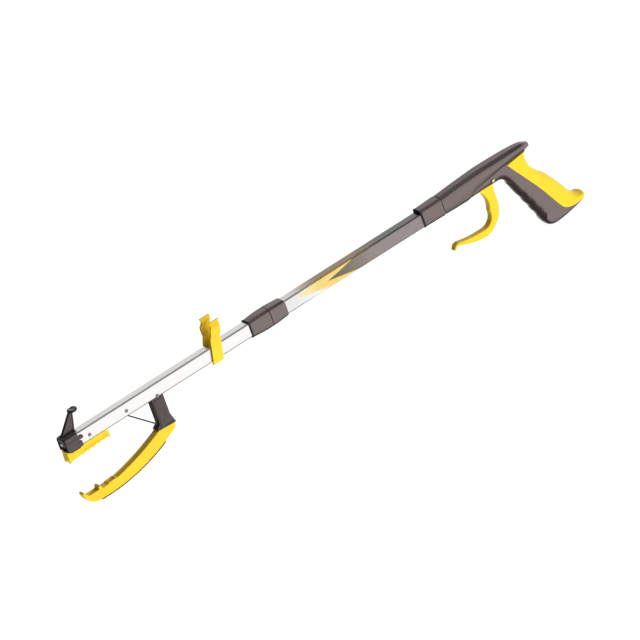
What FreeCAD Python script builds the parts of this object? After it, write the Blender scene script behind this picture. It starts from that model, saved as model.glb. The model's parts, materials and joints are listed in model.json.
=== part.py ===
"""Reacher grabber: a hand tool that picks things up from a distance.

Frame: +X runs from the nose to the handle, +Y is the far side and +Z is up.
The origin is on the tube's axis at the nose's front face. Units are millimetres.
Outlines are in the XZ plane: (x, z) is a line to that point, and
(x, z, x, z) is an arc through the first point to the second.
"""

import FreeCAD, Part
import math
import os

from FreeCAD import Vector

# ---- driving dimensions ----------------------------------------------------------------
TUBE_W = 16.4            # tube, across
TUBE_H = 19.6            # tube, high
TUBE_WALL = 1.3
TUBE_CORNER = 2.6
LEAST_CORNER = 0.8
TUBE_START = 5.0         # front end of the lower tube, inside the nose cap
SEAM_X = 336.0           # where the two tube lengths and the two half collars meet
TUBE_END = 642.0         # rear end of the upper tube, inside the barrel
CABLE_R = 0.8
CABLE_Z = 4.6            # the cable's height along the tube
RUN = 0.06               # radial clearance of a running fit
GAP = 0.3                # room between two bodies that face each other
PAST = 1.0               # how far a cutting shape reaches past what it cuts
WALL = 2.4               # wall of the moulded handle parts

HALF_W = TUBE_W / 2
HALF_H = TUBE_H / 2
IN_W = HALF_W - TUBE_WALL
IN_H = HALF_H - TUBE_WALL

# ---- pins: (x, z) centres ---------------------------------------------------------------
NOSE_RIVET = (39.0, -1.8)
PULLEY = (99.3, -1.4)
JAW_PIVOT = (147.6, -6.7)
TRIGGER_PIVOT = (696.6, -4.0)
RIVET_R = 1.6
RIVET_HEAD_R = 2.5
RIVET_HEAD_H = 0.8
DOME = (0.6, 0.75)       # a point on the head's dome, as shares of its radius and height
TRIGGER_PIN_R = 1.9

# ---- cable route ------------------------------------------------------------------------
PULLEY_PATH_R = CABLE_Z - PULLEY[1]
ROLLER_PATH_R = 4.0
TRIGGER_ARM = 24.0       # from the trigger pivot forward to the cable
NIPPLE = (TRIGGER_PIVOT[0] - TRIGGER_ARM, -6.0)
ROLLER = (NIPPLE[0] - ROLLER_PATH_R, CABLE_Z - ROLLER_PATH_R)
ANCHOR = (141.6, -50.8)  # where the cable pulls on the knuckle
NIPPLE_R = 2.2
ANCHOR_R = 2.0
ROLLER_PIN_R = 1.25
# half width, flange radius, hub radius, half the hub's length
PULLEY_SIZES = (2.8, 7.0, 3.2, IN_W - GAP)
ROLLER_SIZES = (2.2, 4.8, 2.3, 9.0)
RIM_TAPER = 0.4          # how much the groove widens at the rim

# ---- nose -------------------------------------------------------------------------------
CAP_WALL = 1.8
CAP_END = 22.0
CAP_LUG_END = 29.0
CAP_LUG_Z = 1.0
CAP_LUG_R = 4.2
CAP_CORNER = 3.2
CAP_BEVEL = ((0.8, -7.6), (8.2, -HALF_H - CAP_WALL))   # the cap's lower front edge, cut back for the jaw
MAGNET_R = 4.2
MAGNET_T = 3.0
MAGNET_Z = 2.0
POST_HALF = 2.4
POST_TOP = 36.0
POST_FRONT = (4.0, 25.8)             # x of the post's front edge at its foot and at its top
POST_REAR = ((28.8, POST_TOP), (24.4, 17.0), (22.0, 11.0))
HEAD_X = 31.4
HEAD_R = 7.1
HEAD_T = 4.6
HEAD_EDGE_R = 1.5
HEAD_SINK = 0.4          # how far the head sits down over the post
SADDLE_R = 9.0
SADDLE_DEPTH = 1.0

# ---- jaws -------------------------------------------------------------------------------
JAW_END = 67.0           # rear end of the fixed jaw
JAW_HALF = 6.4
TOOTH_PITCH = 8.6
TOOTH_COUNT = 6
TOOTH_DEPTH = 1.7
TOOTH_LINE_Z = -20.0
TOOTH_FALL = 0.45        # each tooth is this much lower than the one behind it
TOOTH_SHARE = 0.6        # depth of the other teeth next to the rearmost
TOOTH_LAND = 1.2
HOLLOW = (0.55, 1.5, 0.9)    # the scoop between teeth: where it is highest, how high, and its far end
FANG = ((4.6, -22.8), (0.6, -25.2), (-0.4, -24.2), (-0.4, -20.0))
FORK = (4.6, 1.4, 17.0)      # the scoop that splits the jaw's front: two radii and its length
FORK_AT = (-1.4, -25.6)
FORK_RISE = 0.06
JAW_FRONT = 0.4
JAW_REAR = (2.0, 3.0, 0.6)   # the bevel at the rear top corner, and the rise at the lower one
TONGUE_ABOVE = 5.0           # the tongue's top, above the nose rivet
MOVING_HALF = 5.9
STRIP_T = 1.8
STRIP_PROUD = 0.3        # how far the strip stands out past the jaw's sides
KNUCKLE_R = 9.6
KNUCKLE_HALF = 6.3
SLOT_START = 86.0        # open underside of the lower tube
SLOT_END = 166.0
SLOT_EDGE = 0.6          # what is left of the floor beside the slot
TONGUE_X = (31.0, 47.0)  # the fixed jaw's tongue, inside the tube
TONGUE_HALF = 5.0
BUSH_R = 2.8
SPRING_R = 4.0
SPRING_WIRE = 0.5        # radius of the wire
SPRING_TURNS = 4
SPRING_ARCS = 4          # arcs in each turn of the coil
SPRING_HALF = 2.6
JAW_SCREW_X = (145.5, 152.5)
JAW_SCREW_UP = 7.0
JAW_SCREW_SEAT = 6.0     # from the knuckle's foot down to the screw heads' seats
# the moving jaw: its outer arc, the heel above it, and its inner face from tip to knuckle
OUTER_ARC = ((24.0, -92.8), (92.0, -86.4), (150.0, -65.2))
HEEL = (157.4, -61.0, 159.6, -54.8)
TIP = ((10.0, -88.4, 1.6, -73.2), (2.8, -72.0), (5.0, -72.2), (8.4, -78.4, 13.6, -79.2))
PAD = ((25.4, -79.2), (26.0, -74.8), (29.8, -74.8), (31.0, -79.6), (40.0, -79.6),
       (41.0, -78.4), (54.0, -77.6), (55.4, -78.2), (96.0, -67.8, 133.2, -53.4))
KNUCKLE_WAIST_Z = -46.6
KNUCKLE_FOOT = ((HEEL[2], HEEL[3]), PAD[-1][-2:])
STRIP_SHARE = 0.9        # how far up the outer arc the black strip runs

# ---- collars and clip -------------------------------------------------------------------
COLLAR_START = 304.0
COLLAR_END = 362.0
COLLAR_GROW = 1.6        # collar over the tube at its rims
COLLAR_BULGE = 1.3       # and this much more in its middle
COLLAR_CORNER = 4.2
SPIGOT_HALF_LENGTH = 34.0
SPIGOT_WALL = 1.6
CLIP_X = 247.4           # middle of the clip at the tube's axis
CLIP_LENGTH = 16.2
CLIP_LEAN = math.tan(math.radians(12.4))
CLIP_CLEAR = 0.25
CLIP_T = 2.6
CANE_R = 11.0
CANE_Z = 30.5
CLIP_TOP = 43.5
CLIP_LIP = 2.6           # how far the prongs flare at the top
CLIP_HOOK = 1.6          # the snap hooks under the tube

# ---- handle -----------------------------------------------------------------------------
FERRULE_START = 586.0
FERRULE_END = 618.0
FERRULE_TAPER = (0.8, 1.0, 0.2)      # how much smaller its front is: at the sides, the top and the bottom
SLOT_HALF = 6.1          # room for the trigger between the cheeks
TRIGGER_HALF = 5.6
TRIGGER_SLOT = (664.0, 704.0)
SPLIT_REACH = 60.0       # half-width of the blocks that divide the handle

# barrel sections: x, half width, top, bottom, corner radius
BARREL = (
    (618.0, 11.0, 15.0, -10.8, 4.5),
    (650.0, 11.6, 17.3, -11.0, 5.0),
    (685.0, 12.0, 19.0, -11.0, 5.5),
    (712.0, 11.8, 18.8, -9.5, 5.5),
    (738.0, 10.6, 18.2, -4.0, 5.0),
    (755.0, 8.4, 16.8, 2.2, 4.2),
    (764.0, 4.2, 13.6, 6.6, 2.4),
)
# grip sections: z, front, back, half width
GRIP = (
    (8.0, 706.0, 752.0, 9.0),
    (-8.0, 710.0, 753.6, 10.6),
    (-22.0, 717.6, 757.6, 12.2),
    (-40.0, 724.4, 773.4, 13.2),
    (-58.0, 731.6, 784.2, 13.5),
    (-76.0, 738.6, 793.0, 13.6),
    (-90.0, 744.0, 804.0, 13.6),
    (-100.0, 747.4, 813.4, 13.0),
    (-107.0, 758.0, 800.0, 8.5),
)
SCREWS = ((733.0, -31.0), (757.0, -84.0))
SCREW_R = 1.4
SCREW_HEAD_R = 2.8
SCREW_HEAD_T = 1.8
BOSS_R = 3.6
OVAL_POINTS = 16
OVAL_POWER = 0.8         # 1 is an ellipse, less is squarer
SHELL_CORE = 5.0         # grip surface to the hollow inside
STRAP_T = 2.6
SCREW_SEAT = 8.4         # y of the screw heads' seats
SCREW_DEPTH = 8.0        # how far the screws reach past the middle
TRIGGER_PIN_HALF = 11.3
ROLLER_PIN_HALF = 11.0
FORK_R = 4.0             # the end of the trigger's arm
FORK_GAP = 2.7           # half the gap between the fork's plates
BOSS = 6.4               # radius of the trigger's pivot boss
# the hook: down its front, along the top of the lower leg, round the tip, back and up the rear
HOOK_START = (677.0, -13.0)
HOOK = ((683.0, -30.0, 680.4, -42.0), (675.4, -57.0, 662.0, -61.4), (640.0, -60.2, 624.0, -57.2),
        (619.0, -58.4, 615.6, -62.2), (614.4, -64.4, 616.8, -64.6), (619.4, -62.4, 625.0, -62.0),
        (646.0, -69.4, 665.6, -72.0), (687.6, -58.2, 696.0, -30.0), (696.8, -14.0))
# the crease where the barrel sits on the grip, from the front up to the rear
CREASE_START = (656.0, -12.0)
CREASE = ((667.0, -3.6), (712.0, 4.4, 757.0, 8.0))
STRAP_EDGE = ((734.7, -15.6), (754.3, -48.7), (771.8, -84.0), (776.4, -91.4, 785.0, -95.2), (806.0, -94.6))
STRAP_START = (723.0, 3.6)
NECK = (657.0, 735.0, 10.8, 9.0, -11.0, 3.6)
WEB_START = (690.0, -11.5)
WEB = ((712.0, -12.6, 719.0, -26.0), (740.0, -26.0), (740.0, -4.0), (690.0, -4.0))
WEB_HALF = 9.0
GRIP_CORE = (700.0, 830.0, 60.0, -100.0, -20.0)   # where the grip is hollow: x0, x1, half width, z0, z1
FAR = 200.0              # further than any piece of the handle reaches


# ---- helpers ----------------------------------------------------------------------------
def at(x, z, y=0.0):
    return Vector(x, y, z)


def slab(start, moves, half, middle=0.0):
    """A plate with the given outline, from middle - half to middle + half across."""
    y = middle - half
    edges = []
    here = at(*start, y)
    for move in moves:
        end = at(*move[-2:], y)
        if len(move) == 4:
            edges.append(Part.Arc(here, at(*move[:2], y), end).toShape())
        else:
            edges.append(Part.LineSegment(here, end).toShape())
        here = end
    first = at(*start, y)
    if here.distanceToPoint(first) > 1e-6:
        edges.append(Part.LineSegment(here, first).toShape())
    return Part.Face(Part.Wire(edges)).extrude(Vector(0, 2 * half, 0))


def block(x0, x1, half, z0, z1):
    return Part.makeBox(x1 - x0, 2 * half, z1 - z0, Vector(x0, -half, z0))


def cross_pin(centre, radius, half, middle=0.0):
    """A cylinder across the tool."""
    return Part.makeCylinder(radius, 2 * half, at(*centre, middle - half), Vector(0, 1, 0))


def section(x, half, top, bottom, corner):
    """A rounded rectangle across the tool at x, starting at the same corner every time."""
    flat_y = half - corner
    corners = ((flat_y, top - corner), (-flat_y, top - corner),
               (-flat_y, bottom + corner), (flat_y, bottom + corner))
    edges = []
    previous = None
    for turn, (y, z) in enumerate(corners):
        angle = turn * math.pi / 2
        ring = [Vector(x, y + corner * math.cos(angle + step), z + corner * math.sin(angle + step))
                for step in (0, math.pi / 4, math.pi / 2)]
        if previous:
            edges.append(Part.LineSegment(previous, ring[0]).toShape())
        edges.append(Part.Arc(*ring).toShape())
        previous = ring[-1]
    edges.append(Part.LineSegment(previous, edges[0].Vertexes[0].Point).toShape())
    return Part.Wire(edges)


def bar(x0, x1, half, top, bottom, corner):
    return Part.makeLoft([section(x, half, top, bottom, corner) for x in (x0, x1)], True, True)


def tube_bar(x0, x1, grow=0.0):
    """The tube's outer shape, grown or shrunk all round."""
    return bar(x0, x1, HALF_W + grow, HALF_H + grow, -HALF_H - grow, max(TUBE_CORNER + grow, LEAST_CORNER))


def turned(profile, centre):
    """A round piece on a cross axis: profile is a closed list of (y, radius)."""
    points = [at(centre[0], centre[1] + radius, y) for y, radius in profile]
    face = Part.Face(Part.makePolygon(points + points[:1]))
    return face.revolve(at(*centre), Vector(0, 1, 0), 360)


def rivet(centre, half=HALF_W):
    """A cross pin with a low domed head on each side."""
    tip = half + RIVET_HEAD_H
    side = at(centre[0], centre[1] + RIVET_HEAD_R, -half)
    dome_z = centre[1] + RIVET_HEAD_R * DOME[0]
    dome = [at(*centre, -tip), at(centre[0], dome_z, -half - RIVET_HEAD_H * DOME[1]), side]
    under_head = at(centre[0], centre[1] + RIVET_R, -half)
    middle = at(centre[0], centre[1] + RIVET_R)
    edges = [
        Part.Arc(*dome).toShape(),
        Part.LineSegment(side, under_head).toShape(),
        Part.LineSegment(under_head, middle).toShape(),
        Part.LineSegment(middle, at(*centre)).toShape(),
        Part.LineSegment(at(*centre), dome[0]).toShape(),
    ]
    near = Part.Face(Part.Wire(edges)).revolve(at(*centre), Vector(0, 1, 0), 360)
    far = near.mirror(at(*centre), Vector(0, 1, 0))
    return near.fuse(far).removeSplitter()


def wheel(centre, path_r, bore_r, half, flange, hub_r, hub_half):
    """A grooved wheel whose cable runs at path_r, with a hub on each side."""
    floor = path_r - CABLE_R - GAP
    lip = CABLE_R + GAP
    profile = [(-hub_half, bore_r), (-hub_half, hub_r), (-half, hub_r), (-half, flange),
               (-lip - RIM_TAPER, flange), (-lip, floor), (lip, floor), (lip + RIM_TAPER, flange),
               (half, flange), (half, hub_r), (hub_half, hub_r), (hub_half, bore_r)]
    return turned(profile, centre)


def oval(z, front, back, half):
    """A closed smooth outline lying flat at height z: a rounded box in plan."""
    middle = (front + back) / 2
    reach = (back - front) / 2
    points = []
    for step in range(OVAL_POINTS):
        angle = 2 * math.pi * step / OVAL_POINTS
        c, s = math.cos(angle), math.sin(angle)
        points.append(Vector(middle + reach * math.copysign(abs(c) ** OVAL_POWER, c),
                             half * math.copysign(abs(s) ** OVAL_POWER, s), z))
    curve = Part.BSplineCurve()
    curve.interpolate(points, PeriodicFlag=True)
    return Part.Wire(curve.toShape())


def grip_loft(inset=0.0):
    rows = [oval(z, front + inset, back - inset, half - inset) for z, front, back, half in GRIP]
    if inset:
        rows = rows[:-1]
    return Part.makeLoft(rows, True, False)


def touching_point(centre, radius, point, side):
    """Where a line from an outside point touches a circle."""
    dx, dz = point[0] - centre[0], point[1] - centre[1]
    angle = math.atan2(dz, dx) + side * math.acos(radius / math.hypot(dx, dz))
    return on_circle(centre, radius, angle)


def on_circle(centre, radius, angle):
    return centre[0] + radius * math.cos(angle), centre[1] + radius * math.sin(angle)


CABLE_FOOT = touching_point(PULLEY, PULLEY_PATH_R, ANCHOR, -1)   # where the cable leaves the pulley


# ---- tubes, joint and collars -----------------------------------------------------------
def lower_tube():
    tube = tube_bar(TUBE_START, SEAM_X).cut(tube_bar(TUBE_START, SEAM_X, -TUBE_WALL))
    floor = (-HALF_H - PAST, -IN_H + PAST)
    tube = tube.cut(block(SLOT_START, SLOT_END, IN_W - SLOT_EDGE, *floor))
    tube = tube.cut(block(*TONGUE_X, TONGUE_HALF, *floor))
    for centre in (NOSE_RIVET, PULLEY, JAW_PIVOT):
        tube = tube.cut(cross_pin(centre, RIVET_R, HALF_W + PAST))
    return tube


def upper_tube():
    return tube_bar(SEAM_X, TUBE_END).cut(tube_bar(SEAM_X, TUBE_END, -TUBE_WALL))


def joint_spigot():
    ends = (SEAM_X - SPIGOT_HALF_LENGTH, SEAM_X + SPIGOT_HALF_LENGTH)
    return tube_bar(*ends, -TUBE_WALL).cut(tube_bar(*ends, -TUBE_WALL - SPIGOT_WALL))


def collar(start, end):
    """One half collar: a sleeve that swells a little towards its middle."""
    rows = []
    for share in (0.0, 0.5, 1.0):
        x = start + share * (end - start)
        across = (x - COLLAR_START) / (COLLAR_END - COLLAR_START)
        grow = COLLAR_GROW + COLLAR_BULGE * math.sin(math.pi * across)
        rows.append(section(x, HALF_W + grow, HALF_H + grow, -HALF_H - grow, COLLAR_CORNER))
    return Part.makeLoft(rows, True, False).cut(tube_bar(start, end))


def walking_aid_clip():
    """A saddle that grips the tube below and a walking stick above."""
    inner = HALF_W + CLIP_CLEAR
    outer = inner + CLIP_T
    under = -HALF_H - CLIP_CLEAR
    over = HALF_H + CLIP_CLEAR
    floor = over + CLIP_T
    seat = CANE_R * math.sqrt(0.5)
    back_r = CANE_R + CLIP_T
    back = back_r * math.sqrt(0.5)
    hook = inner - CLIP_HOOK
    foot = under - CLIP_T
    # half of the section, as (y, z) moves up the outside and down the inside
    moves = [(outer, foot), (outer, floor), (back, CANE_Z - back),
             (back_r, CANE_Z, back, CANE_Z + back), (back + CLIP_LIP, CLIP_TOP),
             (back + CLIP_LIP - CLIP_T, CLIP_TOP), (seat, CANE_Z + seat),
             (CANE_R, CANE_Z, seat, CANE_Z - seat), (inner, floor), (0.0, floor),
             (0.0, over), (inner, over), (inner, under), (hook, under),
             (hook, (under + foot) / 2), (inner, foot)]
    points = []
    here = moves[-1]
    for move in moves:
        end = Vector(0, *move[-2:])
        start = Vector(0, *here[-2:])
        if len(move) == 4:
            points.append(Part.Arc(start, Vector(0, *move[:2]), end).toShape())
        else:
            points.append(Part.LineSegment(start, end).toShape())
        here = move
    reach = 2 * CLIP_LENGTH
    half = Part.Face(Part.Wire(points)).extrude(Vector(2 * reach, 0, 0))
    half.translate(Vector(CLIP_X - reach, 0, 0))
    whole = half.fuse(half.mirror(Vector(0, 0, 0), Vector(0, 1, 0))).removeSplitter()
    return whole.common(leaning_block(foot - PAST, CLIP_TOP + PAST))


def leaning_block(low, high):
    """The clip's two leaning ends, as a block."""
    front = CLIP_X - CLIP_LENGTH / 2
    rear = CLIP_X + CLIP_LENGTH / 2
    moves = [(front + CLIP_LEAN * high, high), (rear + CLIP_LEAN * high, high)]
    moves.append((rear + CLIP_LEAN * low, low))
    return slab((front + CLIP_LEAN * low, low), moves, 2 * CANE_R)


# ---- nose -------------------------------------------------------------------------------
def nose_cap():
    """The cap over the tube's front end, with its dressing post and round head."""
    half = HALF_W + CAP_WALL
    top = HALF_H + CAP_WALL
    cap = bar(0.0, CAP_END, half, top, -top, CAP_CORNER)
    root, round_x = CAP_END - PAST, CAP_LUG_END - CAP_LUG_R
    low, high = CAP_LUG_Z - CAP_LUG_R, CAP_LUG_Z + CAP_LUG_R
    for side in (-1, 1):
        lug = slab((root, high), [(round_x, high), (CAP_LUG_END, CAP_LUG_Z, round_x, low), (root, low)],
                   CAP_WALL / 2, side * (HALF_W + CAP_WALL / 2))
        cap = cap.fuse(lug)
    foot = top - CAP_WALL / 2
    post = slab((POST_FRONT[0], foot), [(POST_FRONT[1], POST_TOP), *POST_REAR], POST_HALF)
    cap = cap.fuse(post).fuse(post_head())
    cap = cap.cut(tube_bar(TUBE_START, CAP_LUG_END + PAST))
    (x0, z0), (x1, _) = CAP_BEVEL
    cap = cap.cut(slab((-x1, -2 * top), [(-x1, z0), (x0, z0), CAP_BEVEL[1], (x1, -2 * top)], 2 * half))
    magnet_hole = Part.makeCylinder(MAGNET_R, MAGNET_T, at(0, MAGNET_Z), Vector(1, 0, 0))
    return cap.cut(magnet_hole).removeSplitter()


def post_head():
    """A low round button with rounded edges and a shallow saddle across it."""
    low = POST_TOP - HEAD_SINK
    disc = Part.makeCylinder(HEAD_R, HEAD_T, at(HEAD_X, low))
    disc = disc.makeFillet(HEAD_EDGE_R, disc.Edges)
    saddle_z = low + HEAD_T - SADDLE_DEPTH + SADDLE_R
    return disc.cut(cross_pin((HEAD_X, saddle_z), SADDLE_R, 2 * HEAD_R))


def tip_magnet():
    return Part.makeCylinder(MAGNET_R, MAGNET_T, at(0, MAGNET_Z), Vector(1, 0, 0))


def fixed_jaw():
    """The upper jaw: a bar under the tube with a toothed face, a forked front and a tongue."""
    top = -HALF_H
    bevel_x, bevel_z, rise = JAW_REAR
    moves = [(JAW_FRONT, CAP_BEVEL[0][1]), *CAP_BEVEL, (CAP_END, CAP_BEVEL[1][1]), (CAP_END, top),
             (JAW_END - bevel_x, top), (JAW_END, top - bevel_z), (JAW_END, TOOTH_LINE_Z + rise)]
    hollow_x, hollow_z, end_z = HOLLOW
    x = JAW_END
    for tooth in range(TOOTH_COUNT):
        point = TOOTH_LINE_Z - TOOTH_DEPTH * (TOOTH_SHARE if tooth else 1.0) - TOOTH_FALL * tooth
        moves.append((x - TOOTH_LAND, point))
        moves.append((x - TOOTH_PITCH * hollow_x, point + hollow_z, x - TOOTH_PITCH, point + end_z))
        x -= TOOTH_PITCH
    jaw = slab(FANG[-1], [*moves, *FANG], JAW_HALF)
    fork = Part.makeCone(*FORK, at(*FORK_AT), Vector(1, 0, FORK_RISE))
    tongue = block(*TONGUE_X, TONGUE_HALF, top - PAST, NOSE_RIVET[1] + TONGUE_ABOVE)
    jaw = jaw.cut(fork).fuse(tongue)
    return jaw.cut(cross_pin(NOSE_RIVET, RIVET_R, HALF_W)).removeSplitter()


# ---- pulley, knuckle and moving jaw -----------------------------------------------------
def knuckle():
    """The black block that swings on the jaw pivot and carries the moving jaw."""
    px, pz = JAW_PIVOT
    front, rear = px - KNUCKLE_R, px + KNUCKLE_R
    waist = KNUCKLE_WAIST_Z
    moves = [(front, pz), (px, pz + KNUCKLE_R, rear, pz), (rear, waist), *KNUCKLE_FOOT]
    body = slab((front, waist), moves, KNUCKLE_HALF)
    slot_half = SPRING_HALF + SPRING_WIRE
    slot_r = SPRING_R + 2 * SPRING_WIRE + GAP
    slot = cross_pin(JAW_PIVOT, slot_r, slot_half)
    slot = slot.fuse(block(px - slot_r, px + slot_r, slot_half, pz, pz + KNUCKLE_R))
    body = body.cut(slot).cut(cross_pin(JAW_PIVOT, BUSH_R, KNUCKLE_HALF + PAST))
    body = body.cut(cross_pin(ANCHOR, ANCHOR_R, KNUCKLE_HALF + PAST))
    along = at(*CABLE_FOOT) - at(*ANCHOR)
    body = body.cut(Part.makeCylinder(CABLE_R + GAP, 2 * KNUCKLE_R, at(*ANCHOR), along))
    for x in JAW_SCREW_X:
        body = body.cut(jaw_screw_hole(x, SCREW_R))
    return body


def jaw_screw_hole(x, radius):
    """A screw's shank, from its seat in the jaw up into the knuckle."""
    seat = KNUCKLE_FOOT[0][1] - JAW_SCREW_SEAT
    return Part.makeCylinder(radius, JAW_SCREW_SEAT + JAW_SCREW_UP, at(x, seat), Vector(0, 0, 1))


def moving_jaw():
    """The lower jaw: a long curved finger with a stepped pad, a tooth and a raised tip."""
    low, middle, high = OUTER_ARC
    moves = [(HEEL[2], HEEL[3]), (*HEEL[:2], *high), (*middle, *low), *TIP, *PAD]
    jaw = slab(PAD[-1][-2:], moves, MOVING_HALF)
    seat = KNUCKLE_FOOT[0][1] - JAW_SCREW_SEAT
    for x in JAW_SCREW_X:
        jaw = jaw.cut(jaw_screw_hole(x, SCREW_R))
        jaw = jaw.cut(Part.makeCylinder(SCREW_HEAD_R, KNUCKLE_R, at(x, seat), Vector(0, 0, -1)))
    return jaw


def jaw_screws():
    """Two screws up through the jaw's heel into the knuckle."""
    seat = KNUCKLE_FOOT[0][1] - JAW_SCREW_SEAT
    screws = []
    for x in JAW_SCREW_X:
        head = Part.makeCylinder(SCREW_HEAD_R - GAP / 2, SCREW_HEAD_T, at(x, seat), Vector(0, 0, -1))
        screws.append(head.fuse(jaw_screw_hole(x, SCREW_R)))
    return Part.makeCompound(screws)


def jaw_edge_strip():
    """The rubber strip along the jaw's outer edge."""
    circle = Part.Arc(*[at(*point) for point in OUTER_ARC]).toShape().Curve
    centre = (circle.Center.x, circle.Center.z)
    radius = circle.Radius
    low = math.atan2(OUTER_ARC[0][1] - centre[1], OUTER_ARC[0][0] - centre[0])
    high = math.atan2(OUTER_ARC[2][1] - centre[1], OUTER_ARC[2][0] - centre[0])
    end = low + STRIP_SHARE * (high - low)
    middle = (low + end) / 2
    outer = radius + STRIP_T
    inside = [on_circle(centre, radius, angle) for angle in (low, middle, end)]
    outside = [on_circle(centre, outer, angle) for angle in (end, middle, low)]
    return slab(inside[0], [inside[1] + inside[2], outside[0], outside[1] + outside[2]],
                MOVING_HALF + STRIP_PROUD)


def return_spring():
    """A torsion spring round the jaw pivot: a coil that ends in one straight leg."""
    px, pz = JAW_PIVOT
    reach = SPRING_HALF - SPRING_WIRE

    def spot(turn):
        x, z = on_circle(JAW_PIVOT, SPRING_R, 2 * math.pi * turn)
        return at(x, z, reach * (2 * turn / SPRING_TURNS - 1))

    step = 1 / SPRING_ARCS
    edges = [Part.Arc(spot(k * step), spot((k + 0.5) * step), spot((k + 1) * step)).toShape()
             for k in range(SPRING_TURNS * SPRING_ARCS)]
    edges.append(Part.LineSegment(spot(SPRING_TURNS), at(px + SPRING_R, IN_H - GAP, reach)).toShape())
    profile = Part.Wire(Part.makeCircle(SPRING_WIRE, spot(0), Vector(0, 0, 1)))
    return Part.Wire(edges).makePipeShell([profile], True, False)


# ---- cable ------------------------------------------------------------------------------
def pull_cable():
    """The whole cable: up from the trigger, over the roller, along the tube, round the pulley, out."""
    roller_side = on_circle(ROLLER, ROLLER_PATH_R, 0.0)
    start = (NIPPLE[0], NIPPLE[1] + NIPPLE_R + GAP)
    roller_mid = on_circle(ROLLER, ROLLER_PATH_R, math.pi / 4)
    roller_top = on_circle(ROLLER, ROLLER_PATH_R, math.pi / 2)
    pulley_top = on_circle(PULLEY, PULLEY_PATH_R, math.pi / 2)
    pulley_mid = on_circle(PULLEY, PULLEY_PATH_R, math.pi)
    dx, dz = ANCHOR[0] - CABLE_FOOT[0], ANCHOR[1] - CABLE_FOOT[1]
    run = math.hypot(dx, dz)
    share = (run - ANCHOR_R - GAP) / run
    end = (CABLE_FOOT[0] + dx * share, CABLE_FOOT[1] + dz * share)
    edges = [
        Part.LineSegment(at(*start), at(*roller_side)).toShape(),
        Part.Arc(at(*roller_side), at(*roller_mid), at(*roller_top)).toShape(),
        Part.LineSegment(at(*roller_top), at(*pulley_top)).toShape(),
        Part.Arc(at(*pulley_top), at(*pulley_mid), at(*CABLE_FOOT)).toShape(),
        Part.LineSegment(at(*CABLE_FOOT), at(*end)).toShape(),
    ]
    route = Part.Wire(edges)
    profile = Part.Wire(Part.makeCircle(CABLE_R, at(*start), Vector(0, 0, 1)))
    cable = route.makePipeShell([profile], True, False)
    straight = math.pi * CABLE_R ** 2 * route.Length
    print(f"cable: length {route.Length:.1f} mm, volume {cable.Volume:.1f} against {straight:.1f} mm3,"
          f" arcs {ROLLER_PATH_R:.1f} and {PULLEY_PATH_R:.1f} mm")
    return cable


# ---- handle -----------------------------------------------------------------------------
def barrel_block(inset=0.0, rows=BARREL):
    rings = []
    for x, half, top, bottom, corner in rows:
        corner = max(corner - inset, LEAST_CORNER)
        rings.append(section(x, half - inset, top - inset, bottom + inset, corner))
    return Part.makeLoft(rings, True, False)


def under_crease():
    """Everything below the crease where the barrel sits on the grip."""
    (x0, _), top = CREASE_START, CREASE[-1][-1]
    moves = [*CREASE, (x0 + FAR, top), (x0 + FAR, -FAR), (x0, -FAR)]
    return slab(CREASE_START, moves, SPLIT_REACH)


def barrel_cover():
    """The long spear-shaped top of the handle."""
    hollow_start = TUBE_END + WALL
    inner_rows = [(hollow_start, *BARREL[1][1:]), *BARREL[2:5]]
    cover = barrel_block().cut(barrel_block(WALL, inner_rows))
    cover = cover.cut(tube_bar(FERRULE_END, TUBE_END)).cut(tube_bar(TUBE_END, hollow_start, -TUBE_WALL))
    cover = cover.cut(under_crease())
    cover = cover.cut(block(*TRIGGER_SLOT, SLOT_HALF, -FAR, NIPPLE[1]))
    return cover.cut(cross_pin(ROLLER, ROLLER_PIN_R, ROLLER_PIN_HALF))


def handle_ferrule():
    _, half, top, bottom, corner = BARREL[0]
    side, above, below = FERRULE_TAPER
    rows = [section(FERRULE_START, half - side, top - above, bottom + below, corner),
            section(FERRULE_END, half, top, bottom, corner)]
    return Part.makeLoft(rows, True, True).cut(tube_bar(FERRULE_START, FERRULE_END))


def grip_outer():
    """Grip and neck together, under the barrel."""
    web = slab(WEB_START, WEB, WEB_HALF)
    return bar(*NECK).fuse(web).fuse(grip_loft()).common(under_crease())


def strap_region():
    """The part of the grip that the back strap covers."""
    x0, z0 = STRAP_START
    moves = [*STRAP_EDGE, (x0 + FAR, STRAP_EDGE[-1][1]), (x0 + FAR, BARREL[0][2]), (x0, BARREL[0][2])]
    return slab(STRAP_START, moves, SPLIT_REACH)


def grip_backstrap():
    return grip_loft().cut(grip_loft(STRAP_T)).common(strap_region()).common(under_crease())


def grip_body(strap):
    """Both halves of the grip in one, before they are split."""
    core = grip_loft(SHELL_CORE).common(block(*GRIP_CORE))
    for centre in SCREWS:
        core = core.cut(cross_pin(centre, BOSS_R, SPLIT_REACH))
    body = grip_outer().cut(strap).cut(core)
    body = body.cut(block(*TRIGGER_SLOT, SLOT_HALF, -FAR, FAR))
    body = body.cut(cross_pin(TRIGGER_PIVOT, TRIGGER_PIN_R, SPLIT_REACH))
    for centre in SCREWS:
        body = body.cut(cross_pin(centre, SCREW_R, SPLIT_REACH, SPLIT_REACH - SCREW_DEPTH))
        body = body.cut(cross_pin(centre, SCREW_HEAD_R, SPLIT_REACH, SPLIT_REACH + SCREW_SEAT))
    return body


def grip_half(body, side):
    """The near half has side -1 and the far half has side 1."""
    low_y = 0 if side > 0 else -SPLIT_REACH
    corner = Vector(CREASE_START[0], low_y, BARREL[0][2] - FAR)
    return body.common(Part.makeBox(FAR, SPLIT_REACH, FAR, corner))


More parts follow.
